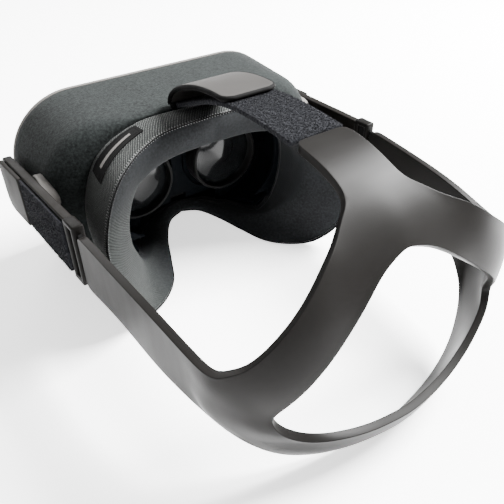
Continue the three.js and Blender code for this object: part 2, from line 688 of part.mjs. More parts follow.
function rearCradle() {
  const points = [];
  const faces = [];
  const push = (p) => points.push(p) - 1;
  const columns = (cradleStations.length - 1) * ringSteps;
  const inner = smooth(cradleStations.map(([a]) => stretched(a)), columns);
  const outer = smooth(cradleStations.map(([, b]) => stretched(b)), columns);
  const quad = (a, b, c, d) => faces.push([a, b, c], [a, c, d]);
  const grids = [1, -1].map((sx) => inner.map((from, c) => {
    const column = [];
    for (let k = 0; k <= ringAcross; k++) {
      const share = k / ringAcross;
      const p = from.clone().lerp(outer[c], share);
      const away = vec(p.x * 0.5, p.y + 110, p.z - 70).normalize();
      p.addScaledVector(away, cradle.crown * share * (1 - share));
      p.x *= sx;
      column.push(p);
    }
    return column;
  }));
  // Both halves share the columns on the centre plane.
  const ids = grids.map(() => []);
  grids[0].forEach((column, c) => { ids[0][c] = column.map(push); });
  grids[1].forEach((column, c) => {
    ids[1][c] = c === 0 || c === columns ? ids[0][c] : column.map(push);
  });
  ids.forEach((side, s) => {
    for (let c = 0; c < columns; c++) {
      for (let k = 0; k < ringAcross; k++) {
        const q = [side[c][k], side[c + 1][k], side[c + 1][k + 1], side[c][k + 1]];
        if (s === 0) quad(...q);
        else quad(...q.reverse());
      }
    }
  });
  // Side straps continue from the outer edge of the ring.
  const [from, to] = strapStations.map((station) => station * ringSteps);
  ids.forEach((side, s) => {
    const sx = s === 0 ? 1 : -1;
    let row = side.slice(from, to + 1).map((column) => column[ringAcross]);
    const steps = smooth(sideStrap.map(([a]) => stretched(a)), 8);
    const lows = smooth(sideStrap.map(([, b]) => stretched(b)), 8);
    steps.forEach((top, i) => {
      const next = row.map((_, k) => {
        const p = top.clone().lerp(lows[i], k / (row.length - 1));
        p.x *= sx;
        return push(p);
      });
      for (let k = 0; k + 1 < row.length; k++) {
        const q = [row[k], row[k + 1], next[k + 1], next[k]];
        if (s === 0) quad(...q);
        else quad(...q.reverse());
      }
      row = next;
    });
  });
  // The top branch continues from the front edge of the crown.
  const reach = branchStation * ringSteps;
  const front = [...ids[1].slice(1, reach + 1).reverse(), ...ids[0].slice(0, reach + 1)];
  let row = front.map((column) => column[ringAcross]);
  for (const [w, y, z] of topBranch) {
    const next = row.map((_, k) => push(stretched([w * ((2 * k) / (row.length - 1) - 1), y, z])));
    for (let k = 0; k + 1 < row.length; k++) quad(row[k], row[k + 1], next[k + 1], next[k]);
    row = next;
  }
  return thicken(points, faces, cradle.thick);
}

// ---- top band: pile strap from the cradle, round the bar on the housing, folded back as a tab ----
const bandPath = [
  [0, -107.4, 128.5], [0, -84, 129], [0, -62, 127.8], [0, -44, 124],
  [0, -26, 117.4], [0, -10, 111.5], [0, -3.5, 109.6],
];
const tabPath = [
  [0, -57, 129.9], [0, -44, 127.6], [0, -28, 123.9], [0, -13, 120], [0, -3, 115.6], [0, 1.2, 109.8],
];

function addTopBand() {
  const path = (list, steps) => smooth(list.map((p) => stretched(p)), steps);
  add('top_band', strip(path(bandPath, 10), band.halfWidth, band.thick), finishes.pile);
  add('top_tab', strip(path(tabPath, 10), band.halfWidth + 0.5, band.tabThick), finishes.tab);
  const half = band.halfWidth + 1.5;
  const rod = cylinder(bar.radius, 2 * half + 3, 'x', 12).translate(0, bar.y, topHeight + bar.up);
  const feet = [-1, 1].map((sx) => {
    const foot = box(bar.foot, bar.footDepth, bar.footHeight);
    return foot.translate(sx * (half + 1.5), 0.2, topHeight + gap + bar.footHeight / 2);
  });
  add('band_bar', join(rod, ...feet), finishes.shell);
}

addHousing();
addControls();
addOptics();
addInside();
addCushion();
addArms();
add('rear_cradle', rearCradle(), finishes.rubber);
addTopBand();

// The origin goes to the middle of the object's footprint, at the table.
const extent = new THREE.Box3().setFromObject(headset);
const middle = extent.getCenter(vec());
headset.position.set(-middle.x, -middle.y, -extent.min.z);

export default headset;
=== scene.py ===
import math

import bmesh
import bpy
from mathutils import Matrix, Vector


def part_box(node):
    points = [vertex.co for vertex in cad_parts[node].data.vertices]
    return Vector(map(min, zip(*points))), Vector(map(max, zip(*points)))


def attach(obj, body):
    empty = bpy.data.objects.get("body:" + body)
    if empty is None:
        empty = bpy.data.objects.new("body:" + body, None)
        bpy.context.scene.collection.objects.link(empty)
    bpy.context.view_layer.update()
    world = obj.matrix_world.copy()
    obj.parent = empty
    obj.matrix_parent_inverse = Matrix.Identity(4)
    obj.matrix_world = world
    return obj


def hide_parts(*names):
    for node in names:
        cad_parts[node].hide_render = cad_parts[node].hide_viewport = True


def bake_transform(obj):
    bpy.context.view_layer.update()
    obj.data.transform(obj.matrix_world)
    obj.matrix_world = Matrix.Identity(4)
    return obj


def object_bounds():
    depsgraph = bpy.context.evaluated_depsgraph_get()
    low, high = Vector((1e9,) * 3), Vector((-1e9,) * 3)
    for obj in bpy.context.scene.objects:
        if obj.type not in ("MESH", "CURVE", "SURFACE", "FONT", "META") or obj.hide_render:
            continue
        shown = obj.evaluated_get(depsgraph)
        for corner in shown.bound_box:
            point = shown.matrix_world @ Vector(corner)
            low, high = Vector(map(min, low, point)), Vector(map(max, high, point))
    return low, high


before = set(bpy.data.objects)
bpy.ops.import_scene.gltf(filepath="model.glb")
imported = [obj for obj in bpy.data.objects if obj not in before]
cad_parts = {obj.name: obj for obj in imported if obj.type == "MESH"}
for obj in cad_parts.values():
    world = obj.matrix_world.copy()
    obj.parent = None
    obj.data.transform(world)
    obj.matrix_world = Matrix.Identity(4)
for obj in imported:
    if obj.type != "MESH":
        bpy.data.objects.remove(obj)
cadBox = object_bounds()
print("frame loaded")

# Places are written in millimetres from the middle of the housing's rear rim at the table,
# +X to the wearer's right, +Y the way the wearer looks.
shellLow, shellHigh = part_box("housing_shell")
lift = 0.0012
rimY = shellLow[1]
tableZ = shellLow[2] - lift


def at(x, y, z):
    return Vector((x / 1000, y / 1000 + rimY, z / 1000 + tableZ))


def toMm(point):
    return Vector((point[0] * 1000, (point[1] - rimY) * 1000, (point[2] - tableZ) * 1000))


# ---- shader building ----

class Sig:
    def __init__(self, graph, socket):
        self.graph = graph
        self.socket = socket

    def calc(self, operation, other):
        return self.graph.node("ShaderNodeMath", {"operation": operation}, [self, other])

    def __add__(self, other):
        return self.calc("ADD", other)

    __radd__ = __add__

    def __sub__(self, other):
        return self.calc("SUBTRACT", other)

    def __mul__(self, other):
        return self.calc("MULTIPLY", other)

    __rmul__ = __mul__


class Graph:
    def __init__(self, name, **constants):
        self.material = bpy.data.materials.new(name)
        self.material.use_nodes = True
        self.tree = self.material.node_tree
        self.shader = next(n for n in self.tree.nodes if n.type == "BSDF_PRINCIPLED")
        for socket, value in constants.items():
            self.put(self.shader.inputs[socket.replace("_", " ")], value)

    def put(self, socket, value):
        if isinstance(value, Sig):
            self.tree.links.new(value.socket, socket)
        elif value is not None:
            socket.default_value = value

    def node(self, kind, settings=None, values=(), out=0):
        made = self.tree.nodes.new(kind)
        for key, value in (settings or {}).items():
            setattr(made, key, value)
        pairs = values.items() if isinstance(values, dict) else enumerate(values)
        for socket, value in pairs:
            self.put(made.inputs[socket], value)
        return Sig(self, made.outputs[out])

    def coords(self, kind="Object"):
        return self.node("ShaderNodeTexCoord", out=kind)

    def stretch(self, vector, scale=(1, 1, 1), turn=(0, 0, 0)):
        return self.node("ShaderNodeMapping", {}, {0: vector, "Rotation": turn, "Scale": scale})

    def noise(self, vector, scale, detail=2.0, rough=0.5):
        values = {"Vector": vector, "Scale": scale, "Detail": detail, "Roughness": rough}
        return self.node("ShaderNodeTexNoise", {}, values)

    def cells(self, vector, scale, out="Distance"):
        return self.node("ShaderNodeTexVoronoi", {}, {"Vector": vector, "Scale": scale}, out)

    def spread(self, value, low, high, newLow=0.0, newHigh=1.0):
        return self.node("ShaderNodeMapRange", {}, [value, low, high, newLow, newHigh])

    def parts(self, vector):
        cut = self.tree.nodes.new("ShaderNodeSeparateXYZ")
        self.put(cut.inputs[0], vector)
        return [Sig(self, output) for output in cut.outputs]

    def wave(self, value):
        return self.node("ShaderNodeMath", {"operation": "SINE"}, [value])

    def blendColor(self, share, first, second):
        values = {0: share, 6: first, 7: second}
        return self.node("ShaderNodeMix", {"data_type": "RGBA"}, values, 2)

    def bump(self, height, distance, strength=1.0, under=None):
        values = {"Height": height, "Distance": distance, "Strength": strength, "Normal": under}
        return self.node("ShaderNodeBump", {}, values)

    def done(self, color=None, roughness=None, normal=None, **others):
        links = {"Base Color": color, "Roughness": roughness, "Normal": normal}
        links.update({key.replace("_", " "): value for key, value in others.items()})
        for socket, value in links.items():
            self.put(self.shader.inputs[socket], value)
        return self.material


dyeDepth = 0.24


def shade(*levels):
    # A colour from its red, green and blue on a 0 to 255 scale.
    return tuple(dyeDepth * ((max(s, 0) / 255 + 0.055) / 1.055) ** 2.4 for s in levels) + (1.0,)


def grey(level, warm=0.0):
    return shade(level + warm, level, level - warm)


knitLook = {"pitch": 0.0008, "dark": shade(22, 26, 26), "light": shade(68, 74, 73), "bump": 0.00016}


def housingKnit():
    g = Graph("housingKnit", Sheen_Weight=0.02, Sheen_Roughness=0.5, Specular_IOR_Level=0.06)
    u, v, _ = g.parts(g.coords("UV"))
    turn = 2 * math.pi / knitLook["pitch"]
    lean = g.wave(u * turn)
    loops = g.wave(v * turn + lean * 1.1)
    yarn = g.noise(g.coords(), 1500, 2.0)
    cloud = g.noise(g.coords(), 55, 3.0)
    fleck = g.noise(g.coords(), 640, 1.0, 0.7)
    height = loops * 0.04 + lean * 0.03 + yarn * 0.9
    tone = g.spread(yarn * 0.35 + cloud * 0.3 + fleck * 0.75, 0.45, 0.95)
    color = g.blendColor(tone, knitLook["dark"], knitLook["light"])
    return g.done(color, g.spread(cloud, 0.3, 0.7, 0.86, 0.97), g.bump(height, knitLook["bump"]))


def padSideKnit():
    g = Graph("padSide", Sheen_Weight=0.03, Sheen_Roughness=0.5, Specular_IOR_Level=0.12)
    u, v, _ = g.parts(g.coords("UV"))
    drift = g.noise(g.coords(), 260, 2.0) * 0.0009
    twill = g.wave((u + v * 0.7 + drift) * (2 * math.pi / 0.0016))
    thread = g.wave((v - u * 0.6 + drift) * (2 * math.pi / 0.0012))
    yarn = g.noise(g.coords(), 1700, 2.0)
    cloud = g.noise(g.coords(), 45, 2.0)
    raised = g.spread(twill, -0.3, 0.9)
    tone = g.spread(raised * 0.5 + yarn * 0.5 + cloud * 0.25, 0.3, 1.0)
    color = g.blendColor(tone, shade(48, 51, 50), shade(110, 114, 111))
    flecks = g.spread(raised * g.spread(thread, 0.1, 0.9) * yarn, 0.3, 0.5)
    color = g.blendColor(flecks, color, shade(192, 196, 193))
    height = raised * 0.7 + thread * 0.3 + yarn * 0.3
    return g.done(color, g.spread(cloud, 0.3, 0.7, 0.84, 0.96), g.bump(height, 0.0003))


def padFaceKnit():
    # Rows of loops run round the face; towards the forehead they give way to plain foam.
    g = Graph("padFace", Sheen_Weight=0.03, Sheen_Roughness=0.5, Specular_IOR_Level=0.12)
    u, v, _ = g.parts(g.coords("UV"))
    where = g.coords()
    across, _, tall = g.parts(where)
    drift = g.noise(where, 240, 2.0) * 0.0012
    rows = g.wave((v * 0.6 + u + drift) * (2 * math.pi / 0.0015))
    loops = g.wave((u - v * 0.8 + drift) * (2 * math.pi / 0.0011))
    fleck = g.noise(where, 700, 1.0, 0.7)
    yarn = g.noise(where, 1600, 2.0)
    cloud = g.noise(where, 45, 3.0)
    knitted = g.spread(tall + cloud * 0.01, 0.088, 0.074)
    raised = g.spread(rows + loops * 0.35, -0.9, 1.2)
    ribbed = knitted * g.spread(across, -0.03, -0.06)
    foamTone = g.spread(fleck * 0.7 + cloud * 0.4, 0.4, 0.75)
    foam = g.blendColor(foamTone, shade(30, 33, 35), shade(58, 61, 64))
    knitTone = g.spread(raised * 0.4 + fleck * 0.5 + yarn * 0.2, 0.3, 0.9)
    knit = g.blendColor(knitTone, shade(38, 41, 40), shade(88, 93, 91))
    color = g.blendColor(ribbed, foam, knit)
    height = raised * ribbed * 0.5 + yarn * 0.35 + fleck * 0.2
    return g.done(color, g.spread(cloud, 0.3, 0.7, 0.84, 0.96), g.bump(height, 0.00028))


def foamCloth():
    g = Graph("foamCloth", Sheen_Weight=0.04, Sheen_Roughness=0.45, Specular_IOR_Level=0.12)
    where = g.coords()
    fine = g.noise(where, 1400, 2.0)
    cloud = g.noise(where, 42, 3.0)
    fleck = g.noise(where, 700, 1.0, 0.7)
    _, _, tall = g.parts(where)
    brow = g.spread(tall + cloud * 0.01, 0.07, 0.088)
    tone = g.spread(fleck * 0.6 + cloud * 0.5, 0.35, 0.8)
    color = g.blendColor(tone, grey(32, -2), grey(54, -2))
    color = g.blendColor(brow, grey(46, -3), color)
    return g.done(color, g.spread(cloud, 0.3, 0.7, 0.82, 0.95), g.bump(fine, 0.00016))


def satinPlastic(name, dark, light, roughness, grain=0.00004, gloss=0.04):
    g = Graph(name, Specular_IOR_Level=gloss)
    where = g.coords()
    cloud = g.noise(where, 30, 4.0)
    fine = g.noise(where, 2600, 2.0)
    wear = g.noise(where, 190, 3.0)
    color = g.blendColor(g.spread(cloud, 0.3, 0.72), dark, light)
    shine = g.spread(cloud * 0.5 + wear * 0.5, 0.3, 0.7, roughness - 0.06, roughness + 0.09)
    return g.done(color, shine, g.bump(fine, grain, 0.6))


def cradleRubber():
    g = Graph("cradleRubber", Specular_IOR_Level=0.036)
    where = g.coords()
    cloud = g.noise(where, 16, 4.0)
    fine = g.noise(where, 2200, 2.0)
    smear = g.noise(g.stretch(where, (40, 160, 40)), 1.0, 3.0)
    color = g.blendColor(g.spread(cloud, 0.3, 0.7), grey(36, 1.5), grey(46, 1.5))
    shine = g.spread(cloud * 0.6 + smear * 0.4, 0.3, 0.7, 0.3, 0.42)
    return g.done(color, shine, g.bump(fine, 0.00003, 0.5))


def pileCloth():
    g = Graph("pileCloth", Sheen_Weight=0.02, Sheen_Roughness=0.4, Specular_IOR_Level=0.05)
    where = g.coords()
    curls = g.cells(where, 620)
    cloud = g.noise(where, 70, 3.0)
    fine = g.noise(where, 1300, 2.0)
    tone = g.spread(curls * 0.7 + cloud * 0.5 + fine * 0.4, 0.4, 1.15)
    color = g.blendColor(tone, shade(34, 35, 40), shade(56, 57, 62))
    return g.done(color, 0.95, g.bump(curls + fine * 0.5, 0.0006))


def bondedTab(name, level):
    g = Graph(name, Specular_IOR_Level=0.03)
    where = g.coords()
    cloud = g.noise(where, 35, 3.0)
    fine = g.noise(where, 1700, 2.0)
    color = g.blendColor(g.spread(cloud + fine * 0.2, 0.35, 0.85), grey(level, 2), grey(level + 14, 2))
    return g.done(color, g.spread(cloud, 0.3, 0.7, 0.5, 0.66), g.bump(fine, 0.00005, 0.7))


def lensGlass():
    g = Graph("lensGlass", Coat_Weight=0.1, Coat_Roughness=0.03, Specular_IOR_Level=0.15)
    u = g.parts(g.coords("UV"))[0]
    ridge = g.wave(u * (2 * math.pi / 0.0009))
    deep = g.spread(u, 0.004, 0.021)
    color = g.blendColor(deep, grey(32, -1), grey(46, -2))
    return g.done(color, g.spread(u, 0.0, 0.023, 0.09, 0.16), g.bump(ridge, 0.00001, 0.12))


def darkGlass(name, level):
    g = Graph(name, Coat_Weight=1.0, Coat_Roughness=0.03)
    cloud = g.noise(g.coords(), 60, 2.0)
    color = g.blendColor(g.spread(cloud, 0.3, 0.7), grey(level), grey(level + 8))
    return g.done(color, g.spread(cloud, 0.3, 0.7, 0.06, 0.13))


def brightMetal():
    g = Graph("brightMetal", Metallic=0.9)
    where = g.coords()
    turned = g.noise(g.stretch(where, (2400, 300, 300)), 1.0, 2.0)
    cloud = g.noise(where, 120, 2.0)
    color = g.blendColor(cloud, grey(176), grey(206))
    return g.done(color, g.spread(turned, 0.3, 0.7, 0.26, 0.42), g.bump(turned, 0.00003, 0.4))


def boardGreen():
    g = Graph("boardGreen", Coat_Weight=0.4, Coat_Roughness=0.25)
    where = g.coords()
    tracks = g.cells(g.stretch(where, (220, 220, 900)), 1.0)
    color = g.blendColor(g.spread(tracks, 0.3, 0.5), (0.012, 0.07, 0.035, 1), (0.02, 0.11, 0.05, 1))
    return g.done(color, 0.5, g.bump(tracks, 0.00008))


looks = {
    "housingKnit": housingKnit(),
    "padSide": padSideKnit(),
    "padFace": padFaceKnit(),
    "foamCloth": foamCloth(),
    "cradleRubber": cradleRubber(),
    "armPlastic": satinPlastic("armPlastic", grey(28, 3), grey(38, 3), 0.44),
    "loopPlastic": satinPlastic("loopPlastic", grey(20, 2), grey(28, 2), 0.46),
    "coverPlastic": satinPlastic("coverPlastic", grey(24), grey(32), 0.34, gloss=0.06),
    "darkPlastic": satinPlastic("darkPlastic", grey(14, -1), grey(21, -1), 0.5),
    "cavityPlastic": satinPlastic("cavityPlastic", grey(13, -6), grey(20, -7), 0.7, 0.00009),
    "rimPlastic": satinPlastic("rimPlastic", grey(40), grey(52), 0.46),
    "pileCloth": pileCloth(),
    "bondedTab": bondedTab("bondedTab", 52),
    "topTabCloth": bondedTab("topTabCloth", 90),
    "edgeBinding": satinPlastic("edgeBinding", grey(22), grey(34), 0.75, 0.0001),
    "lensGlass": lensGlass(),
    "cameraGlass": darkGlass("cameraGlass", 16),
    "screenGlass": darkGlass("screenGlass", 12),
    "brightMetal": brightMetal(),
    "boardGreen": boardGreen(),
    "cellWrap": satinPlastic("cellWrap", grey(40), grey(62), 0.55),
    "stitchThread": satinPlastic("stitchThread", grey(215), grey(250), 0.85),
    # Pale grey of the pivot bosses and the label bar, also used for the painted highlight strip on the
    # front panel's rim.
    "frontTrim": satinPlastic("frontTrim", grey(150, 4), grey(176, 4), 0.5),
    "darkThread": satinPlastic("darkThread", grey(34), grey(52), 0.85),
}
print("materials made")


# ---- mesh building ----

def cleaned(mesh, outward=True):
    work = bmesh.new()
    work.from_mesh(mesh)
    bmesh.ops.remove_doubles(work, verts=work.verts, dist=1e-6)
    if outward:
        bmesh.ops.recalc_face_normals(work, faces=work.faces)
    work.to_mesh(mesh)
    work.free()


def placed(name, data):
    made = bpy.data.objects.new(name, data)
    bpy.context.collection.objects.link(made)
    return made


def piece(name, points, faces, look, uvs=None, slots=None, smooth=True, outward=True):
    mesh = bpy.data.meshes.new(name)
    mesh.from_pydata([tuple(p) for p in points], [], faces)
    if uvs:
        layer = mesh.uv_layers.new(name="UVMap")
        for polygon, corners in zip(mesh.polygons, uvs):
            for loop, uv in zip(polygon.loop_indices, corners):
                layer.data[loop].uv = uv
    for lookName in [look] if isinstance(look, str) else look:
        mesh.materials.append(looks[lookName])
    if slots:
        for polygon, slot in zip(mesh.polygons, slots):
            polygon.material_index = slot
    cleaned(mesh, outward)
    for polygon in mesh.polygons:
        polygon.use_smooth = smooth
    return placed(name, mesh)


def modify(obj, kind, **settings):
    modifier = obj.modifiers.new(kind.title(), kind)
    for key, value in settings.items():
        setattr(modifier, key, value)
    return modifier


def settle(obj):
    # Turns the modifiers' result into the piece's own plain mesh.
    bpy.context.view_layer.update()
    depsgraph = bpy.context.evaluated_depsgraph_get()
    mesh = bpy.data.meshes.new_from_object(obj.evaluated_get(depsgraph), depsgraph=depsgraph)
    obj.modifiers.clear()
    obj.data = mesh
    return obj


def drop(*objs):
    for obj in objs:
        bpy.data.objects.remove(obj, do_unlink=True)


def creased(obj, angle=35):
    obj.data.polygons.foreach_set("use_smooth", [True] * len(obj.data.polygons))
    obj.data.set_sharp_from_angle(angle=math.radians(angle))
    return obj


def hold(obj, body, nodes=()):
    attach(obj, body)
    if nodes:
        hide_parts(*nodes)
    return obj


def refined(node, name, look, body, width=0.0006, segments=3, angle=35):
    # A copy of a CAD piece with its flat facets joined and its edges rounded.
    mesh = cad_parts[node].data.copy()
    work = bmesh.new()
    work.from_mesh(mesh)
    bmesh.ops.remove_doubles(work, verts=work.verts, dist=2e-6)
    limit = math.radians(1.2)
    bmesh.ops.dissolve_limit(work, angle_limit=limit, verts=work.verts, edges=work.edges)
    work.to_mesh(mesh)
    work.free()
    mesh.materials.clear()
    mesh.materials.append(looks[look])
    mesh.name = name
    made = placed(name, mesh)
    modify(made, "BEVEL", width=width, segments=segments, limit_method="ANGLE",
           angle_limit=math.radians(angle), harden_normals=False, use_clamp_overlap=True)
    settle(made)
    creased(made, 40)
    return hold(made, body, [node])


def knotPath(points, steps):
    # A centripetal curve through the points, cut at equal shares of its knots.
    points = [Vector(p) for p in points]
    spans = len(points) - 1
    ends = [2 * points[0] - points[1], 2 * points[-1] - points[-2]]
    made = []
    for k in range(steps + 1):
        place = min(k / steps * spans, spans - 1e-9)
        i = int(place)
        t = place - i
        quad = [points[i - 1] if i else ends[0], points[i], points[i + 1],
                points[i + 2] if i + 2 <= spans else ends[1]]
        gaps = [max((quad[j + 1] - quad[j]).length ** 0.5, 1e-4) for j in range(3)]
        first = ((quad[1] - quad[0]) / gaps[0] - (quad[2] - quad[0]) / (gaps[0] + gaps[1])
                 + (quad[2] - quad[1]) / gaps[1]) * gaps[1]
        second = ((quad[2] - quad[1]) / gaps[1] - (quad[3] - quad[1]) / (gaps[1] + gaps[2])
                  + (quad[3] - quad[2]) / gaps[2]) * gaps[1]
        low, high = quad[1], quad[2]
        made.append(low + first * t + (3 * (high - low) - 2 * first - second) * t ** 2
                    + (2 * (low - high) + first + second) * t ** 3)
    return made


def ringFaces(rows, count, wrap):
    faces = []
    for r in range(rows if wrap else rows - 1):
        s = (r + 1) % rows
        for i in range(count):
            j = (i + 1) % count
            faces.append((r * count + i, r * count + j, s * count + j, s * count + i))
    return faces


def carve(obj, tools):
    for tool in tools:
        modify(obj, "BOOLEAN", object=tool, operation="DIFFERENCE", solver="EXACT")
    settle(obj)
    drop(*tools)
    return obj


def boxMiddle(node):
    low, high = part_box(node)
    return (Vector(low) + Vector(high)) / 2


def roundBox(node):
    # The corners of a round CAD piece's box in mm, its radius and its middle across the view.
    low, high = [toMm(p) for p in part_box(node)]
    return low, high, (high[0] - low[0]) / 2, ((low[0] + high[0]) / 2, (low[2] + high[2]) / 2)


def rod(name, radius, start, end, look="darkPlastic", around=48):
    axis = end - start
    side = axis.orthogonal().normalized() * radius
    other = axis.normalized().cross(side)
    points = []
    for middle in (start, end):
        for k in range(around):
            a = 2 * math.pi * k / around
            points.append(middle + side * math.cos(a) + other * math.sin(a))
    faces = ringFaces(2, around, False)
    faces += [tuple(range(around)), tuple(range(around, 2 * around))]
    return piece(name, points, faces, look)


def block(name, low, high, look="darkPlastic"):
    xs, ys, zs = zip(low, high)
    points = [Vector((x, y, z)) for x in xs for y in ys for z in zs]
    faces = [(0, 1, 3, 2), (4, 6, 7, 5), (0, 4, 5, 1), (2, 3, 7, 6), (0, 2, 6, 4), (1, 5, 7, 3)]
    return piece(name, points, faces, look, smooth=False)


def turned(name, middle, profile, look, around=72, slots=None):
    # Turns (radius, y) pairs, in mm, about the y line through middle; the profile closes on itself.
    points, uvs = [], []
    for radius, y in profile:
        for k in range(around):
            a = 2 * math.pi * k / around
            points.append(at(middle[0] + radius * math.cos(a), y, middle[1] + radius * math.sin(a)))
    faces = ringFaces(len(profile), around, True)
    for face in faces:
        corners = []
        for v in face:
            corners.append((profile[v // around][0] / 1000, (v % around) / around))
        uvs.append(corners)
    marks = [slots[i // around] for i in range(len(faces))] if slots else None
    return piece(name, points, faces, look, uvs, marks)


# ---- housing ----

housingSize = {
    "wall": 3.0, "cornerRadius": 42, "shoulderInset": 3.4, "rearInset": 19, "rearRound": 15,
    "rearCorner": 48, "rearSteps": 14, "cornerSteps": 22, "frontRoll": 1.2, "noseHalfWidth": 45.5,
    "noseDepth": 45, "noseHeight": 24, "noseSteps": 40, "noseOut": -12, "noseFoot": -10,
    "bossRadius": 12.3, "rearDrop": 1.5,
}
halfWide = toMm(shellHigh)[0]
halfTall = (shellHigh[2] - shellLow[2]) * 500
midTall = (shellHigh[2] + shellLow[2] - 2 * tableZ) * 500
depth = toMm(shellHigh)[1]
topTall = midTall + halfTall


def outlineRing(y, wide, tall, radius, steps, middle=None):
    ring = []
    middle = midTall if middle is None else middle
    radius = min(radius, wide, tall)
    for corner in range(4):
        sx = 1 if corner in (0, 3) else -1
        sz = 1 if corner < 2 else -1
        for k in range(steps + 1):
            a = (corner + k / steps) * math.pi / 2
            ring.append(at(sx * (wide - radius) + radius * math.cos(a), y,
                           middle + sz * (tall - radius) + radius * math.sin(a)))
    return ring


def housingSection(y, inset):
    d = housingSize
    rear = max(0.0, 1 - y / d["rearRound"])
    roundness = 1 - math.sqrt(max(0.0, 1 - rear * rear))
    taper = d["shoulderInset"] * (1 - y / depth)
    wide = halfWide - taper - (d["rearInset"] - d["shoulderInset"]) * roundness - inset
    tall = halfTall - d["rearDrop"] * roundness - inset
    corner = d["cornerRadius"] + (d["rearCorner"] - d["cornerRadius"]) * roundness
    return wide, tall, min(corner, tall) - 0.5


def skinned(name, rings, look, wrap=True, caps=False, smooth=True):
    # Skins equal rings and gives each corner its run round the ring and along the rings, in metres.
    count = len(rings[0])
    rounds = [0.0]
    for i in range(count):
        rounds.append(rounds[-1] + (rings[0][(i + 1) % count] - rings[0][i]).length)
    alongs = [0.0]
    for a, b in zip(rings, rings[1:] + rings[:1]):
        alongs.append(alongs[-1] + (b[0] - a[0]).length)
    faces = ringFaces(len(rings), count, wrap)
    uvs = []
    for index in range(len(faces)):
        r, i = divmod(index, count)
        uvs.append([(rounds[i], alongs[r]), (rounds[i + 1], alongs[r]),
                    (rounds[i + 1], alongs[r + 1]), (rounds[i], alongs[r + 1])])
    if caps:
        last = (len(rings) - 1) * count
        for cap in (range(count), range(last, last + count)):
            faces.append(tuple(cap))
            uvs.append([(rings[0][0][0], rings[0][0][2])] * count)
    return piece(name, [p for ring in rings for p in ring], faces, look, uvs, None, smooth)


def noseTool():
    d = housingSize
    ring = [(d["noseHalfWidth"], d["noseOut"])]
    for k in range(d["noseSteps"] + 1):
        a = math.pi * k / d["noseSteps"]
        ring.append((d["noseHalfWidth"] * math.cos(a), d["noseDepth"] * math.sin(a)))
    ring.append((-d["noseHalfWidth"], d["noseOut"]))
    rings = [[at(x, y, z) for x, y in ring] for z in (d["noseFoot"], d["noseHeight"])]
    return skinned("noseTool", rings, "darkPlastic", False, True, False)


def around(node, grow, reachX=0.0, reachZ=0.0):
    # A box round a CAD piece, grown by a clearance and pushed out through the wall.
    low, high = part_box(node)
    grown = Vector((grow + reachX, grow, grow + reachZ))
    return block(node + "Tool", Vector(low) - grown, Vector(high) + grown)


holeGap = 0.0003
sideReach = 0.02


def sideHole(node):
    low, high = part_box(node)
    middle = boxMiddle(node)
    out = Vector((sideReach if middle[0] > 0 else -sideReach, 0, 0))
    return rod(node + "Tool", (high[1] - low[1]) / 2 + holeGap, middle - out, middle + out)


def makeHousing():
    d = housingSize
    turns = [math.pi / 2 * k / d["rearSteps"] for k in range(d["rearSteps"] + 1)]
    ys = [d["rearRound"] * (1 - math.cos(t)) for t in turns]
    ys += [d["rearRound"] + (depth - d["frontRoll"] - d["rearRound"]) * k / 12 for k in range(1, 13)]
    outer = [outlineRing(y, *housingSection(y, 0), d["cornerSteps"]) for y in ys]
    for k in range(1, 5):
        a = math.pi / 2 * k / 4
        y = depth - d["frontRoll"] * (1 - math.sin(a))
        inset = d["frontRoll"] * (1 - math.cos(a))
        outer.append(outlineRing(y, *housingSection(y, inset), d["cornerSteps"]))
    innerYs = [depth] + list(reversed(ys[:-1]))
    inner = [outlineRing(y, *housingSection(y, d["wall"]), d["cornerSteps"]) for y in innerYs]
    shell = skinned("housingSkin", outer + inner, "housingKnit")
    tools = [noseTool(), around("charging_port", holeGap, sideReach),
             around("volume_rocker", 0.0005, 0, 0.01)]
    for side, sx in (("left", -1), ("right", 1)):
        boss = at(sx * halfWide, 16, toMm(boxMiddle("pivot_boss_" + side))[2])
        reach = Vector((0.024, 0, 0))
        tools.append(rod("bossTool", d["bossRadius"] / 1000, boss - reach, boss + reach))
        tools.append(sideHole("audio_jack_" + side))
    tools.append(sideHole("power_button"))
    low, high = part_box("spacing_slider")
    clear = Vector((0.0036, 0.0006, 0.002))
    slot = block("sliderTool", Vector(low) - clear, Vector((high[0], high[1], low[2] + 0.008)) + clear)
    carve(shell, tools + [slot])
    creased(shell, 32)
    hold(shell, "headset", ["housing_shell"])


def frontHole(node, around):
    low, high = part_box(node)
    middle, reach = boxMiddle(node), Vector((0, 0.012, 0))
    radius = (high[0] - low[0]) / 2 + holeGap
    return rod(node + "Tool", radius, middle - reach, middle + reach, around=around)


coverSize = {"wall": 2.4, "bulge": 6.5, "fall": 30, "rings": 26, "cornerSteps": 22, "corner": 42}


def makeCover():
    d = coverSize
    start = toMm(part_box("front_cover")[0])[1]
    bulge = [(0, 0.6), (0.35, 0.9), (0.65, 3), (0.85, 8), (0.96, 17), (1, 30)]
    curve = knotPath([(share * d["fall"], inset, 0) for share, inset in bulge], d["rings"])

    def ring(y, inset, least):
        corner = max(d["corner"] - inset, least)
        return outlineRing(y, halfWide - inset, halfTall - inset, corner, d["cornerSteps"])

    rings = [ring(start + p[0] / d["fall"] * d["bulge"], p[1], 8) for p in curve]
    inner = [ring(start + p[0] / d["fall"] * (d["bulge"] - d["wall"]), p[1] + d["wall"], 7)
             for p in reversed(curve)]
    cover = skinned("frontPanel", inner + rings, "coverPlastic", False, True)
    tools = [frontHole(f"camera_{level}_{side}", 64)
             for level in ("upper", "lower") for side in ("left", "right")]
    carve(cover, tools + [frontHole("status_lamp", 48)])
    creased(cover, 30)
    hold(cover, "headset", ["front_cover"])


rimHighlightLook = {"start": 0.15, "deep": 2.6, "thick": 1.0, "proud": 0.15, "steps": 6}


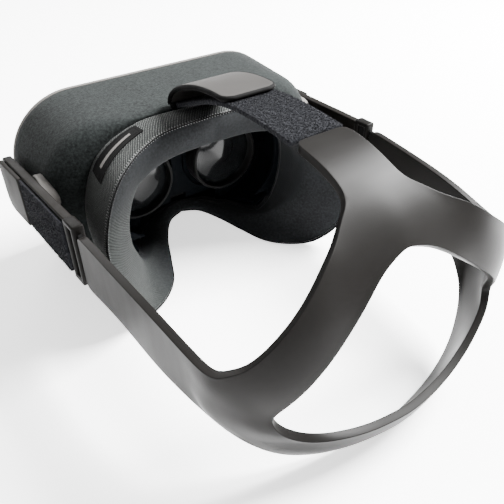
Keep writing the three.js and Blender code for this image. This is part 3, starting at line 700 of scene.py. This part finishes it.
def makeRimHighlight():
    # A pale strip round the front edge, between the cloth and the front panel: a painted highlight for
    # the light caught on the panel's rim.
    d = rimHighlightLook
    low = depth + d["start"]
    rings = []
    for k in range(4 * d["steps"]):
        a = 2 * math.pi * k / (4 * d["steps"])
        y = low + d["deep"] / 2 * (1 + math.sin(a))
        inset = d["thick"] / 2 * (1 - math.cos(a)) - d["proud"]
        rings.append(outlineRing(y, halfWide - inset, halfTall - inset, coverSize["corner"] - inset,
                                 coverSize["cornerSteps"]))
    hold(skinned("frontTrim", rings, "frontTrim"), "headset")


cameraLook = {"rim": 0.9, "step": 0.5, "bowl": 1.6, "lens": 2.3, "dome": 0.7}


def makeCameras():
    d = cameraLook
    for level in ("upper", "lower"):
        for side in ("left", "right"):
            node = f"camera_{level}_{side}"
            low, high, r, middle = roundBox(node)
            back, face = low[1], high[1]
            lens = d["lens"]
            profile = [(0.001, back), (r, back), (r, face - 0.3), (r - 0.3, face), (r - d["rim"], face),
                       (r - d["rim"] - 0.3, face - d["step"]), (lens + 0.4, face - d["bowl"]),
                       (lens, face - d["bowl"])]
            profile += [(lens * math.cos(t * math.pi / 16),
                         face - d["bowl"] + d["dome"] * math.sin(t * math.pi / 16)) for t in range(1, 8)]
            profile.append((0.001, face - d["bowl"] + d["dome"]))
            marks = [0] * 6 + [1] * (len(profile) - 6)
            name = f"camera{level.title()}{side.title()}"
            made = turned(name, middle, profile, ["darkPlastic", "cameraGlass"], 48, marks)
            creased(made, 35)
            hold(made, "headset", [node])
    refined("status_lamp", "statusLamp", "cameraGlass", "headset", 0.0002)


def makeControls():
    refined("power_button", "powerButton", "darkPlastic", "power", 0.0006)
    refined("volume_rocker", "volumeRocker", "darkPlastic", "volume", 0.0008, 4)
    refined("charging_port", "chargingPort", "brightMetal", "headset", 0.0003)
    for side in ("left", "right"):
        name = side.title()
        refined("audio_jack_" + side, "audioJack" + name, "rimPlastic", "headset",
                0.0004)
        refined("pivot_boss_" + side, "pivotBoss" + name, "frontTrim", "headset",
                0.001, 4)


makeHousing()
makeCover()
makeRimHighlight()
makeCameras()
makeControls()
print("housing made")


# ---- optics and the eye cavity ----

barrelLook = {"wall": 2.2, "grooves": 3, "grooveDepth": 0.25, "grooveFrom": 7,
              "roundDeep": 2.0, "roundIn": 1.1}
lensLook = {"crown": 4.5, "edge": 2.0, "rings": 22}


def makeOptics():
    d = barrelLook
    for side in ("left", "right"):
        body = "optic_" + side
        name = side.title()
        low, high, r, middle = roundBox("lens_barrel_" + side)
        rear, front = low[1], high[1]
        seat = r - d["wall"]
        outside = [(r, front), (r, rear + d["roundDeep"])]
        for k in range(1, 7):
            a = math.pi / 2 * k / 6
            outside.append((r - d["roundIn"] + d["roundIn"] * math.cos(a),
                            rear + d["roundDeep"] - d["roundDeep"] * math.sin(a)))
        inside = [(seat + 0.25, rear + 0.3), (seat, rear + 1.2)]
        step = (front - rear - d["grooveFrom"]) / d["grooves"]
        for k in range(d["grooves"]):
            y = rear + d["grooveFrom"] + k * step
            inside += [(seat, y), (seat + d["grooveDepth"], y + 0.3), (seat, y + 0.6)]
        inside.append((seat, front))
        barrel = turned("lensBarrel" + name, middle, outside + inside, "rimPlastic", 96)
        creased(barrel, 38)
        hold(barrel, body, ["lens_barrel_" + side])
        makeLens(side, name, body, middle)
        refined("carriage_" + side, "carriage" + name, "cavityPlastic", body, 0.0005)
        refined("display_" + side, "display" + name, "screenGlass", body, 0.0004)
    refined("spacing_slider", "spacingSlider", "rimPlastic", "optic_left", 0.0005)
    for level in ("upper", "lower"):
        refined("guide_rod_" + level, "guideRod" + level.title(), "darkPlastic", "headset",
                0.0003)


def makeLens(side, name, body, middle):
    d = lensLook
    _, high, r, _ = roundBox("lens_" + side)
    front = high[1]
    rim = front - d["edge"]
    profile = [(0.001, front), (r, front), (r, rim)]
    for k in range(1, d["rings"] + 1):
        share = 1 - k / d["rings"]
        profile.append((max(r * share, 0.001), rim - d["crown"] * (1 - share * share)))
    lens = turned("lens" + name, middle, profile, "lensGlass", 96)
    creased(lens, 30)
    hold(lens, body, ["lens_" + side])


def makeInside():
    refined("eye_cavity", "eyeCavity", "cavityPlastic", "headset", 0.0007, 3, 40)
    refined("chassis", "chassisPlate", "cavityPlastic", "headset", 0.0004)
    refined("cushion_frame", "cushionFrame", "cavityPlastic", "headset", 0.0005)
    refined("main_board", "mainBoard", "boardGreen", "headset", 0.0002)
    refined("battery", "batteryPack", "cellWrap", "headset", 0.0008, 3)
    refined("cooling_fan", "coolingFan", "darkPlastic", "headset", 0.0004)
    refined("wear_sensor", "wearSensor", "cameraGlass", "headset", 0.0004)


makeOptics()
makeInside()
print("optics made")


# ---- face cushion ----

cushionRails = {
    "base": [(0, -1, 103), (40, -1, 102), (64, -1, 90), (75.5, -1, 66), (76.5, -1, 40), (69, -1, 19),
             (53, -1, 6.5), (38, -1.5, 3), (32.5, 5, 1.8), (28, 18, 1.8), (21, 29, 2.6), (11, 38, 4.4),
             (0, 41, 5.4)],
    "seam": [(0, -20, 104), (38, -24, 103), (67, -37, 92), (82, -46, 66), (83, -52, 40), (77, -52, 16),
             (63, -45, 3), (48, -36, 0.6), (36, -23, 0.6), (28, -5, 2.4), (20.5, 13, 5), (11, 26, 8),
             (0, 30, 9.5)],
    "lip": [(0, -18, 86), (31, -20, 85), (52, -25, 79), (61, -28, 63), (62, -28, 46), (57, -24, 30),
            (50, -13, 16.5), (42, -3, 10), (35, 8, 8), (28, 19, 9), (20, 28, 11.5), (10, 34, 14.5),
            (0, 36.5, 15.5)],
    "root": [(0, -1, 84), (33, -1, 83), (53, -1, 77), (62, -1, 62), (63, -1, 45), (60, -1, 29),
             (53, -1, 16), (46, 0.5, 10.5), (42, 13, 6.4), (36.5, 23, 6.4), (27.5, 32.5, 7.4),
             (15, 39.5, 9.5), (0, 42.5, 11)],
}
cushionLook = {
    "columns": 520, "sideRows": 14, "faceRows": 20, "innerRows": 12, "crown": 2.5, "belly": 1.2,
    "ribPitch": 2.1, "ribTilt": 0.35, "ribHeight": 0.2, "pinch": 0.8, "pinchWidth": 1.6,
}


def closedRail(points):
    half = knotPath(points, cushionLook["columns"])
    other = [Vector((-p[0], p[1], p[2])) for p in half[-2:0:-1]]
    return half + other


def cushionGrid():
    # One row of points for each column round the face, from the housing out over the pad and back in.
    d = cushionLook
    rails = {name: closedRail(points) for name, points in cushionRails.items()}
    columns = []
    for base, seam, lip, root in zip(*rails.values()):
        away = Vector((base[0], 0, base[2] - midTall)).normalized() * d["belly"]
        if base[2] < 8:
            away *= 0
        belly = base.lerp(seam, 0.5) + away
        crown = seam.lerp(lip, 0.45) + Vector((0, -d["crown"], 0))
        inside = lip.lerp(root, 0.5)
        side = knotPath([base, belly, seam], d["sideRows"])
        face = knotPath([seam, crown, lip, inside, root], d["faceRows"] + d["innerRows"])
        columns.append(side + face[1:])
    return columns


def makeCushion():
    d = cushionLook
    grid = cushionGrid()
    count, rows = len(grid), len(grid[0])
    seamRow = d["sideRows"]
    arcs = [0.0]
    for k in range(count):
        arcs.append(arcs[-1] + (grid[(k + 1) % count][seamRow] - grid[k][seamRow]).length)
    pitch = arcs[-1] / round(arcs[-1] / d["ribPitch"])
    normals, runs = [], []
    for k in range(count):
        run = [0.0]
        for r in range(1, rows):
            run.append(run[-1] + (grid[k][r] - grid[k][r - 1]).length)
        runs.append(run)
        line = []
        for r in range(rows):
            along = grid[(k + 1) % count][r] - grid[k - 1][r]
            across = grid[k][min(r + 1, rows - 1)] - grid[k][max(r - 1, 0)]
            line.append(along.cross(across).normalized())
        normals.append(line)
    middle = sum((grid[k][seamRow] for k in range(count)), Vector()) / count
    if (grid[0][seamRow // 2] - middle).dot(normals[0][seamRow // 2]) < 0:
        normals = [[-n for n in line] for line in normals]
    points, moved = [], []
    for k in range(count):
        line = []
        for r in range(rows):
            reach = runs[k][r] - runs[k][seamRow]
            push = -d["pinch"] * math.exp(-(reach / d["pinchWidth"]) ** 2)
            if 0 < r < seamRow:
                phase = 2 * math.pi * (arcs[k] + d["ribTilt"] * runs[k][r]) / pitch
                fade = min(r, seamRow - r, 3) / 3
                push += d["ribHeight"] * math.sin(phase) * fade
            line.append(grid[k][r] + normals[k][r] * push)
        moved.append(line)
        points += [at(*p) for p in line]
    faces, uvs, slots = [], [], []
    for k in range(count):
        n = (k + 1) % count
        for r in range(rows):
            s = (r + 1) % rows
            faces.append((k * rows + r, k * rows + s, n * rows + s, n * rows + r))
            run = [runs[k][r], runs[k][s] if s else runs[k][r]]
            uvs.append([(arcs[k] / 1000, run[0] / 1000), (arcs[k] / 1000, run[1] / 1000),
                        (arcs[k + 1] / 1000, run[1] / 1000), (arcs[k + 1] / 1000, run[0] / 1000)])
            slots.append(0 if r < seamRow else 1 if r < seamRow + d["faceRows"] - 4 else 2)
    cushion = piece("facePad", points, faces, ["padSide", "padFace", "foamCloth"], uvs, slots)
    hold(cushion, "headset", ["face_cushion"])
    makeSkirt(moved)
    makeSeam(moved, normals, seamRow)
    makeTag(moved, normals)


skirtLook = {"reach": 9.0, "spread": 2.5, "thick": 0.8, "lowest": 3.0}


def makeSkirt(moved):
    # A soft dark skirt from the pad's inner edge into the eye cavity, which keeps light out.
    d = skirtLook
    points = []
    rows = [0.0, 0.35, 0.7, 1.0]
    for column in moved:
        p = column[-1]
        away = Vector((p[0], 0, p[2] - midTall)).normalized()
        for share in rows:
            q = p + Vector((0, d["reach"] * share, 0)) + away * d["spread"] * share
            points.append(at(q[0], q[1], max(q[2], d["lowest"])))
    faces = []
    count, wide = len(moved), len(rows)
    for k in range(count):
        n = (k + 1) % count
        for r in range(wide - 1):
            faces.append((k * wide + r, k * wide + r + 1, n * wide + r + 1, n * wide + r))
    skirt = piece("padSkirt", points, faces, "foamCloth")
    modify(skirt, "SOLIDIFY", thickness=d["thick"] / 1000, offset=0.0)
    settle(skirt)
    creased(skirt, 50)
    hold(skirt, "headset")


def openTree(name, sockets):
    tree = bpy.data.node_groups.new(name, "GeometryNodeTree")
    sockets = [("Geometry", "Geometry")] + sockets + [("Material", "Material")]
    for label, kind in sockets:
        tree.interface.new_socket(label, in_out="INPUT", socket_type="NodeSocket" + kind)
    tree.interface.new_socket("Geometry", in_out="OUTPUT", socket_type="NodeSocketGeometry")
    return tree, tree.nodes.new("NodeGroupInput")


def closeTree(tree, start, made):
    # Ends a group with plain geometry in the material that it was given.
    nodes, link = tree.nodes, tree.links.new
    solid = nodes.new("GeometryNodeRealizeInstances")
    finish = nodes.new("GeometryNodeSetMaterial")
    link(made.outputs[0], solid.inputs[0])
    link(solid.outputs[0], finish.inputs["Geometry"])
    link(start.outputs["Material"], finish.inputs["Material"])
    link(finish.outputs[0], nodes.new("NodeGroupOutput").inputs[0])
    return tree


def threadTree():
    tree, start = openTree("threadTree", [("Radius", "Float")])
    nodes, link = tree.nodes, tree.links.new
    curve = nodes.new("GeometryNodeMeshToCurve")
    circle = nodes.new("GeometryNodeCurvePrimitiveCircle")
    circle.inputs["Resolution"].default_value = 5
    tube = nodes.new("GeometryNodeCurveToMesh")
    tube.inputs["Fill Caps"].default_value = True
    link(start.outputs["Geometry"], curve.inputs["Mesh"])
    link(start.outputs["Radius"], circle.inputs["Radius"])
    link(curve.outputs[0], tube.inputs["Curve"])
    link(circle.outputs[0], tube.inputs["Profile Curve"])
    return closeTree(tree, start, tube)


def setInput(modifier, name, value):
    for item in modifier.node_group.interface.items_tree:
        if item.name == name and item.in_out == "INPUT":
            modifier[item.identifier] = value


trees = {"thread": threadTree()}


def thread(name, lines, radius, look, body, slot, closed=False):
    # Sewing thread along one or more runs of points, as one plain mesh.
    points, edges = [], []
    for line in lines:
        first = len(points)
        points += line
        edges += [(first + k, first + k + 1) for k in range(len(line) - 1)]
        if closed:
            edges.append((len(points) - 1, first))
    mesh = bpy.data.meshes.new(name)
    mesh.from_pydata([tuple(p) for p in points], edges, [])
    mesh.materials.append(looks[look])
    made = placed(name, mesh)
    modifier = made.modifiers.new("thread", "NODES")
    modifier.node_group = trees["thread"]
    setInput(modifier, "Radius", radius)
    setInput(modifier, "Material", looks[look])
    settle(made)
    for polygon in made.data.polygons:
        polygon.use_smooth = True
    if body:
        hold(made, body)
    return made


seamLook = {"skip": 1, "rows": 1, "proud": 0.24, "radius": 0.0002,
            "cordProud": 0.3, "cordRadius": 0.00035}


def makeSeam(moved, normals, seamRow):
    d = seamLook
    zigzag = []
    for step, k in enumerate(range(0, len(moved), d["skip"])):
        row = seamRow + (d["rows"] if step % 2 else -d["rows"])
        zigzag.append(at(*(moved[k][row] + normals[k][row] * d["proud"])))
    thread("seamZigzag", [zigzag], d["radius"], "stitchThread", "headset", "cushion_knit", True)
    middle = [at(*(column[seamRow] + normals[k][seamRow] * d["cordProud"]))
              for k, column in enumerate(moved)]
    thread("seamCord", [middle], d["cordRadius"], "darkThread", "headset", "cushion_knit", True)


tagLook = {"from": (-68.0, 83.0), "to": (-41.0, 102.5), "rows": (2, 8), "proud": 0.55, "thick": 0.5,
           "fadeColumns": 5, "slack": 0.25, "barProud": 0.2, "stitchProud": 0.0003,
           "stitchRadius": 0.00014}


def makeTag(moved, normals):
    # A blank sewn label on the pad's outer side.
    d = tagLook
    count = len(moved)

    def nearest(place):
        gaps = [((column[5][0] - place[0]) ** 2 + (column[5][2] - place[1]) ** 2, k)
                for k, column in enumerate(moved)]
        return min(gaps)[1]

    first, last = sorted((nearest(d["from"]), nearest(d["to"])))

    def patch(name, start, end, low, high, proud, look):
        width = high - low
        points, faces = [], []
        for k in range(start, end + 1):
            for r in range(low, high + 1):
                ends = min(k - first, last - k) / d["fadeColumns"]
                slack = max(0.0, 1 - ends) * d["slack"]
                clean = (moved[k - 1][r] + moved[(k + 1) % count][r] + moved[k - 3][r]
                         + moved[(k + 3) % count][r]) / 4
                points.append(at(*(clean + normals[k][r] * (proud - slack))))
        for c in range(end - start):
            for r in range(width):
                a = c * (width + 1) + r
                faces.append((a, a + 1, a + width + 2, a + width + 1))
        made = piece(name, points, faces, look, outward=False)
        modify(made, "SOLIDIFY", thickness=d["thick"] / 1000, offset=0.0)
        settle(made)
        cleaned(made.data)
        creased(made, 40)
        hold(made, "headset")
        return points

    low, high = d["rows"]
    width = high - low
    points = patch("blankLabel", first, last, low, high, d["proud"], "edgeBinding")
    inset = (last - first) // 6
    middleRow = (low + high) // 2
    patch("labelBar", first + inset, last - inset, middleRow, middleRow + 1,
          d["proud"] + d["barProud"], "frontTrim")
    span = list(range(first, last + 1))
    rim = [points[c * (width + 1) + 1] for c in range(2, len(span) - 2)]
    rim += [points[(len(span) - 3) * (width + 1) + r] for r in range(1, width)]
    rim += [points[c * (width + 1) + width - 1] for c in reversed(range(2, len(span) - 2))]
    rim += [points[2 * (width + 1) + r] for r in reversed(range(1, width))]
    middle = at(0, 0, midTall)
    raised = [p + (p - middle).normalized() * d["stitchProud"] for p in rim]
    thread("labelStitch", [raised], d["stitchRadius"], "darkThread", "headset", "cushion_knit", True)


makeCushion()
print("face cushion made")


# ---- rear cradle ----

cradleRails = [
    ((0, -165, 104), (0, -143, 121)), ((14, -167.5, 99.5), (15, -144, 120)),
    ((26, -171.5, 92), (29, -154, 112.5)), ((37, -174, 83.5), (41, -161, 107.5)),
    ((47, -175.5, 75.5), (53, -165.5, 99)), ((56, -175, 67), (66, -166.5, 89)),
    ((63, -172.5, 59), (77, -163, 79)), ((67, -169.5, 52), (86, -155.5, 74)),
    ((67.5, -169.5, 47.5), (86, -150, 58)), ((64, -173, 41), (84.5, -146, 41)),
    ((54, -177, 33), (77, -153, 29)), ((40, -181, 27.5), (60, -165, 13)),
    ((21, -185, 24), (32, -174, 3.2)), ((0, -187, 23), (0, -178.5, 0.4)),
]
strapRails = [((88, -143, 75.5), (85, -139, 40)), ((91, -117, 79), (90, -119, 45.5)),
              ((94, -82, 80.5), (93, -83, 48.5)), ((96, -52, 81), (96, -52, 47.5))]
branchRails = [(14.5, -134, 124.5), (14.5, -121, 127.6), (14.8, -109, 128.4)]
cradleLook = {
    "thick": 4.0, "crown": 6.0, "columns": 26, "across": 4, "strapSteps": 8, "levels": 3,
    "edge": 1.5, "strapFrom": 7, "strapTo": 10,
}


def makeCradle():
    d = cradleLook
    inner = knotPath([a for a, b in cradleRails], d["columns"])
    outer = knotPath([b for a, b in cradleRails], d["columns"])
    across = d["across"]
    points, faces = [], []

    def keep(p):
        points.append(at(*p))
        return len(points) - 1

    sides = []
    for sx in (1, -1):
        columns = []
        for c in range(d["columns"] + 1):
            if sx < 0 and c in (0, d["columns"]):
                columns.append(sides[0][c])
                continue
            column = []
            for k in range(across + 1):
                share = k / across
                p = inner[c].lerp(outer[c], share)
                away = Vector((p[0] * 0.5, p[1] + 110, p[2] - 70)).normalized()
                p += away * d["crown"] * share * (1 - share)
                column.append(keep((p[0] * sx, p[1], p[2])))
            columns.append(column)
        sides.append(columns)

    def quads(row, line, sx):
        for k in range(len(row) - 1):
            face = (row[k], row[k + 1], line[k + 1], line[k])
            faces.append(face if sx > 0 else tuple(reversed(face)))

    for sx, columns in zip((1, -1), sides):
        for c in range(d["columns"]):
            quads(columns[c], columns[c + 1], -sx)
        perStation = d["columns"] // (len(cradleRails) - 1)
        first, last = d["strapFrom"] * perStation, d["strapTo"] * perStation
        row = [column[across] for column in columns[first:last + 1]]
        tops = knotPath([a for a, b in strapRails], d["strapSteps"])
        lows = knotPath([b for a, b in strapRails], d["strapSteps"])
        for top, low in zip(tops, lows):
            line = []
            for k in range(len(row)):
                p = top.lerp(low, k / (len(row) - 1))
                line.append(keep((p[0] * sx, p[1], p[2])))
            quads(row, line, sx)
            row = line
    front = [sides[1][c][across] for c in (2, 1)] + [sides[0][c][across] for c in (0, 1, 2)]
    row = front
    for wide, y, z in branchRails:
        line = [keep((wide * (2 * k / 4 - 1), y, z)) for k in range(5)]
        quads(row, line, 1)
        row = line
    cradle = piece("cradle", points, faces, "cradleRubber")
    modify(cradle, "SUBSURF", levels=d["levels"], render_levels=d["levels"])
    settle(cradle)
    cleaned(cradle.data)
    modify(cradle, "SOLIDIFY", thickness=d["thick"] / 1000, offset=0.0, use_even_offset=True)
    settle(cradle)
    modify(cradle, "BEVEL", width=d["edge"] / 1000, segments=4, limit_method="ANGLE",
           angle_limit=math.radians(50))
    settle(cradle)
    for vertex in cradle.data.vertices:
        vertex.co.z = max(vertex.co.z, cadBox[0][2] + 0.0001)
    creased(cradle, 50)
    hold(cradle, "strap", ["rear_cradle"])
    return cradle


makeCradle()
print("cradle made")


# ---- arms, loops, side patches ----

def pileTree():
    tree, start = openTree("pileTree", [("Density", "Float"), ("Curl Height", "Float"),
                                        ("Yarn Radius", "Float"), ("Seed", "Int")])
    nodes, link = tree.nodes, tree.links.new
    scatter = nodes.new("GeometryNodeDistributePointsOnFaces")
    link(start.outputs["Geometry"], scatter.inputs["Mesh"])
    link(start.outputs["Density"], scatter.inputs["Density"])
    link(start.outputs["Seed"], scatter.inputs["Seed"])
    arc = nodes.new("GeometryNodeCurvePrimitiveBezierSegment")
    arc.inputs["Resolution"].default_value = 4
    arc.inputs["Start"].default_value = (-0.45, 0, -0.3)
    arc.inputs["Start Handle"].default_value = (-0.7, 0.2, 1.2)
    arc.inputs["End Handle"].default_value = (0.8, 0.3, 1.3)
    arc.inputs["End"].default_value = (0.4, -0.1, -0.3)
    circle = nodes.new("GeometryNodeCurvePrimitiveCircle")
    circle.inputs["Resolution"].default_value = 3
    ratio = nodes.new("ShaderNodeMath")
    ratio.operation = "DIVIDE"
    link(start.outputs["Yarn Radius"], ratio.inputs[0])
    link(start.outputs["Curl Height"], ratio.inputs[1])
    link(ratio.outputs[0], circle.inputs["Radius"])
    tube = nodes.new("GeometryNodeCurveToMesh")
    link(arc.outputs[0], tube.inputs["Curve"])
    link(circle.outputs[0], tube.inputs["Profile Curve"])
    turn = nodes.new("FunctionNodeRandomValue")
    turn.data_type = "FLOAT"
    turn.inputs["Max"].default_value = 2 * math.pi
    link(start.outputs["Seed"], turn.inputs["Seed"])
    spin = nodes.new("ShaderNodeCombineXYZ")
    link(turn.outputs[1], spin.inputs["Z"])
    local = nodes.new("FunctionNodeRotateRotation")
    local.rotation_space = "LOCAL"
    asTurn = nodes.new("FunctionNodeEulerToRotation")
    link(spin.outputs[0], asTurn.inputs[0])
    link(scatter.outputs["Rotation"], local.inputs[0])
    link(asTurn.outputs[0], local.inputs[1])
    size = nodes.new("FunctionNodeRandomValue")
    size.data_type = "FLOAT"
    size.inputs["Min"].default_value = 0.6
    size.inputs["Max"].default_value = 1.15
    grow = nodes.new("ShaderNodeMath")
    grow.operation = "MULTIPLY"
    link(size.outputs[1], grow.inputs[0])
    link(start.outputs["Curl Height"], grow.inputs[1])
    place = nodes.new("GeometryNodeInstanceOnPoints")
    link(scatter.outputs["Points"], place.inputs["Points"])
    link(tube.outputs[0], place.inputs["Instance"])
    link(local.outputs[0], place.inputs["Rotation"])
    link(grow.outputs[0], place.inputs["Scale"])
    return closeTree(tree, start, place)


trees["pile"] = pileTree()
pileLook = {"density": 2.6e6, "height": 0.00042, "yarn": 0.00009, "seed": 11}


def pile(name, ground, density=1.0, seed=0):
    # Looped pile standing on every face of the ground sheet, which it takes the place of.
    d = pileLook
    modifier = ground.modifiers.new("pile", "NODES")
    modifier.node_group = trees["pile"]
    setInput(modifier, "Density", d["density"] * density)
    setInput(modifier, "Curl Height", d["height"])
    setInput(modifier, "Yarn Radius", d["yarn"])
    setInput(modifier, "Seed", d["seed"] + seed)
    setInput(modifier, "Material", looks["pileCloth"])
    settle(ground)
    ground.name = name
    return ground


armLook = {"edge": 1.9, "loopEdge": 1.1, "tabEdge": 0.8, "pileEdge": 0.6,
           "foldFrom": 94.9, "foldThick": 1.8, "foldLow": (-54, 49.2), "foldHigh": (-39.4, 79.6)}


def makeArms():
    d = armLook
    for seed, (side, sx) in enumerate((("left", -1), ("right", 1))):
        name = side.title()
        refined("arm_" + side, "arm" + name, "armPlastic", "strap", d["edge"] / 1000, 5)
        refined("strap_loop_" + side, "strapLoop" + name, "loopPlastic", "strap",
                d["loopEdge"] / 1000, 4)
        reach = sorted((sx * d["foldFrom"], sx * (d["foldFrom"] + d["foldThick"])))
        fold = block("strapFold" + name, at(reach[0], *d["foldLow"]), at(reach[1], *d["foldHigh"]),
                     "edgeBinding")
        hold(fold, "strap")
        refined("side_tab_" + side, "sideTab" + name, "bondedTab", "strap",
                d["tabEdge"] / 1000, 3)
        patch = refined("side_pile_" + side, "sidePile" + name, "pileCloth", "strap",
                        d["pileEdge"] / 1000, 2)
        ground = patch.copy()
        ground.data = patch.data.copy()
        bpy.context.collection.objects.link(ground)
        work = bmesh.new()
        work.from_mesh(ground.data)
        inward = [f for f in work.faces if f.normal[0] * sx < 0.7]
        bmesh.ops.delete(work, geom=inward, context="FACES")
        work.to_mesh(ground.data)
        work.free()
        ground.parent = None
        pile("sideLoops" + name, ground, 0.8, seed)
        hold(ground, "strap")


makeArms()
print("arms made")


# ---- top band and its folded tab ----

bandRail = [(0, -107.4, 128.5), (0, -84, 129), (0, -62, 127.8), (0, -44, 124), (0, -26, 117.0),
            (0, -10, 109.6), (0, -4.2, 107.4)]
tabRail = [(0, -57, 130.1), (0, -44, 129.4), (0, -29, 126.8), (0, -13, 121.4), (0, -3.5, 115.8),
           (0, 1.8, 110), (0, 2.2, 106.4)]
bandLook = {"half": 15.0, "thick": 2.4, "tabHalf": 15.5, "tabThick": 2.4, "steps": 60, "across": 16,
            "binding": 1.45, "corner": 5.0}


def stripPoints(rail, half, steps, across, lift=0.0, corner=0.0):
    # Rows of points across a strip that follows the rail; its last rows round off the free end.
    path = knotPath(rail, steps)
    gone, rows = 0.0, []
    for k, p in enumerate(path):
        if k:
            gone += (p - path[k - 1]).length
        ahead = (path[min(k + 1, steps)] - path[max(k - 1, 0)]).normalized()
        up = Vector((0, -ahead[2], ahead[1]))
        if up[2] < 0:
            up = -up
        wide = half
        if corner and gone < corner:
            wide -= corner - math.sqrt(corner ** 2 - (corner - gone) ** 2)
        rows.append([p + up * lift + Vector((wide * (2 * i / across - 1), 0, 0))
                     for i in range(across + 1)])
    return rows


def stripPiece(name, rows, look, thick, edge):
    points = [at(*p) for row in rows for p in row]
    count = len(rows[0])
    faces = []
    for r in range(len(rows) - 1):
        for i in range(count - 1):
            a = r * count + i
            faces.append((a, a + 1, a + count + 1, a + count))
    strip = piece(name, points, faces, look, outward=False)
    if strip.data.polygons[0].normal[2] < 0:
        strip.data.flip_normals()
    if thick:
        modify(strip, "SOLIDIFY", thickness=thick / 1000, offset=0.0)
        settle(strip)
        cleaned(strip.data)
        modify(strip, "BEVEL", width=edge / 1000, segments=3, limit_method="ANGLE",
               angle_limit=math.radians(50))
        settle(strip)
        creased(strip, 50)
    return strip


def makeBand():
    d = bandLook
    bend = {"start": tuple(at(0, -4, 110)), "end": tuple(at(0, -40, 122))}
    band = stripPiece("topBand", stripPoints(bandRail, d["half"], d["steps"], d["across"]),
                      "pileCloth", d["thick"], 0.7)
    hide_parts("top_band")
    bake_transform(band)
    rows = stripPoints(bandRail, d["half"] - 0.3, d["steps"], d["across"], d["thick"] / 2)
    loops = pile("topLoops", stripPiece("topLoopsGround", rows, "pileCloth", 0, 0), 1.0, 7)
    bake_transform(loops)
    rows = stripPoints(tabRail, d["tabHalf"], d["steps"], d["across"], 0, d["corner"])
    tab = stripPiece("topTab", rows, "topTabCloth", d["tabThick"], 0.6)
    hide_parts("top_tab")
    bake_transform(tab)
    rows = stripPoints(tabRail, d["tabHalf"], d["steps"], d["across"], -0.2, d["corner"])
    rim = [row[0] for row in reversed(rows)] + rows[0][1:-1] + [row[-1] for row in rows]
    binding = thread("tabBinding", [[at(*p) for p in rim]], d["binding"] / 1000, "edgeBinding",
                     None, None)
    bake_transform(binding)
    makeAnchor()


anchorLook = {"half": 16.6, "from": -2.6, "to": 0.8, "rise": 2.6, "edge": 1.1}


def makeAnchor():
    # The low bridge on the housing that the band is threaded round.
    d = anchorLook
    low = at(-d["half"], d["from"], topTall - 0.6)
    high = at(d["half"], d["to"], topTall + d["rise"])
    anchor = block("bandBridge", low, high)
    modify(anchor, "BEVEL", width=d["edge"] / 1000, segments=4, limit_method="ANGLE")
    settle(anchor)
    creased(anchor, 50)
    hold(anchor, "headset", ["band_bar"])


makeBand()
print("top band made")


# ---- floor, light, camera ----

stageLook = {"floorReach": 6.0, "key": 270.0, "fill": 2.0, "back": 12.0, "sky": 0.95,
             "glow": 1.4, "aim": (0, 0, 0.06)}


def makeStage():
    d = stageLook
    reach = d["floorReach"]
    g = Graph("paleFloor", Specular_IOR_Level=0.1, Emission_Color=(1, 1, 1, 1),
              Emission_Strength=d["glow"])
    cloud = g.noise(g.coords(), 3, 2.0)
    looks["paleFloor"] = g.done((0.92, 0.92, 0.92, 1), g.spread(cloud, 0.3, 0.7, 0.75, 0.85))
    corners = [(-reach, -reach, 0), (reach, -reach, 0), (reach, reach, 0), (-reach, reach, 0)]
    floor = piece("floor", corners, [(0, 1, 2, 3)], "paleFloor", outward=False)
    world = bpy.data.worlds.new("studio")
    bpy.context.scene.world = world
    world.use_nodes = True
    sky = world.node_tree.nodes["Background"]
    sky.inputs["Color"].default_value = (1, 1, 1, 1)
    sky.inputs["Strength"].default_value = d["sky"]
    for name, power, place, size in (("key", d["key"], (1.0, -0.1, 1.04), 0.7),
                                     ("fill", d["fill"], (-0.9, -0.6, 0.8), 0.9),
                                     ("back", d["back"], (0.1, 1.0, 0.7), 0.6)):
        light = bpy.data.lights.new(name, "AREA")
        light.energy = power
        light.size = size
        lamp = placed(name, light)
        lamp.location = place
        aim = Vector(d["aim"]) - Vector(place)
        lamp.rotation_euler = aim.to_track_quat("-Z", "Y").to_euler()


cameraPlace = {"turn": 35.07, "down": 38.8, "roll": 0.35, "distance": 336.9,
               "target": (-2.6, -61.9, 34.1), "lens": 40.8}


def makeCamera():
    d = cameraPlace
    turn, down, roll = [math.radians(d[k]) for k in ("turn", "down", "roll")]
    look = Vector((math.sin(turn) * math.cos(down), math.cos(turn) * math.cos(down), -math.sin(down)))
    right = Vector((math.cos(turn), -math.sin(turn), 0))
    up = right.cross(look)
    right, up = (right * math.cos(roll) + up * math.sin(roll),
                 up * math.cos(roll) - right * math.sin(roll))
    eye = at(*d["target"]) - look * d["distance"] / 1000
    data = bpy.data.cameras.new("view")
    data.lens = d["lens"]
    data.sensor_width = 36
    data.clip_start = 0.01
    camera = placed("view", data)
    camera.matrix_world = Matrix((
        (right[0], up[0], -look[0], eye[0]), (right[1], up[1], -look[1], eye[1]),
        (right[2], up[2], -look[2], eye[2]), (0, 0, 0, 1)))
    bpy.context.scene.camera = camera


makeStage()
makeCamera()
print("stage made")
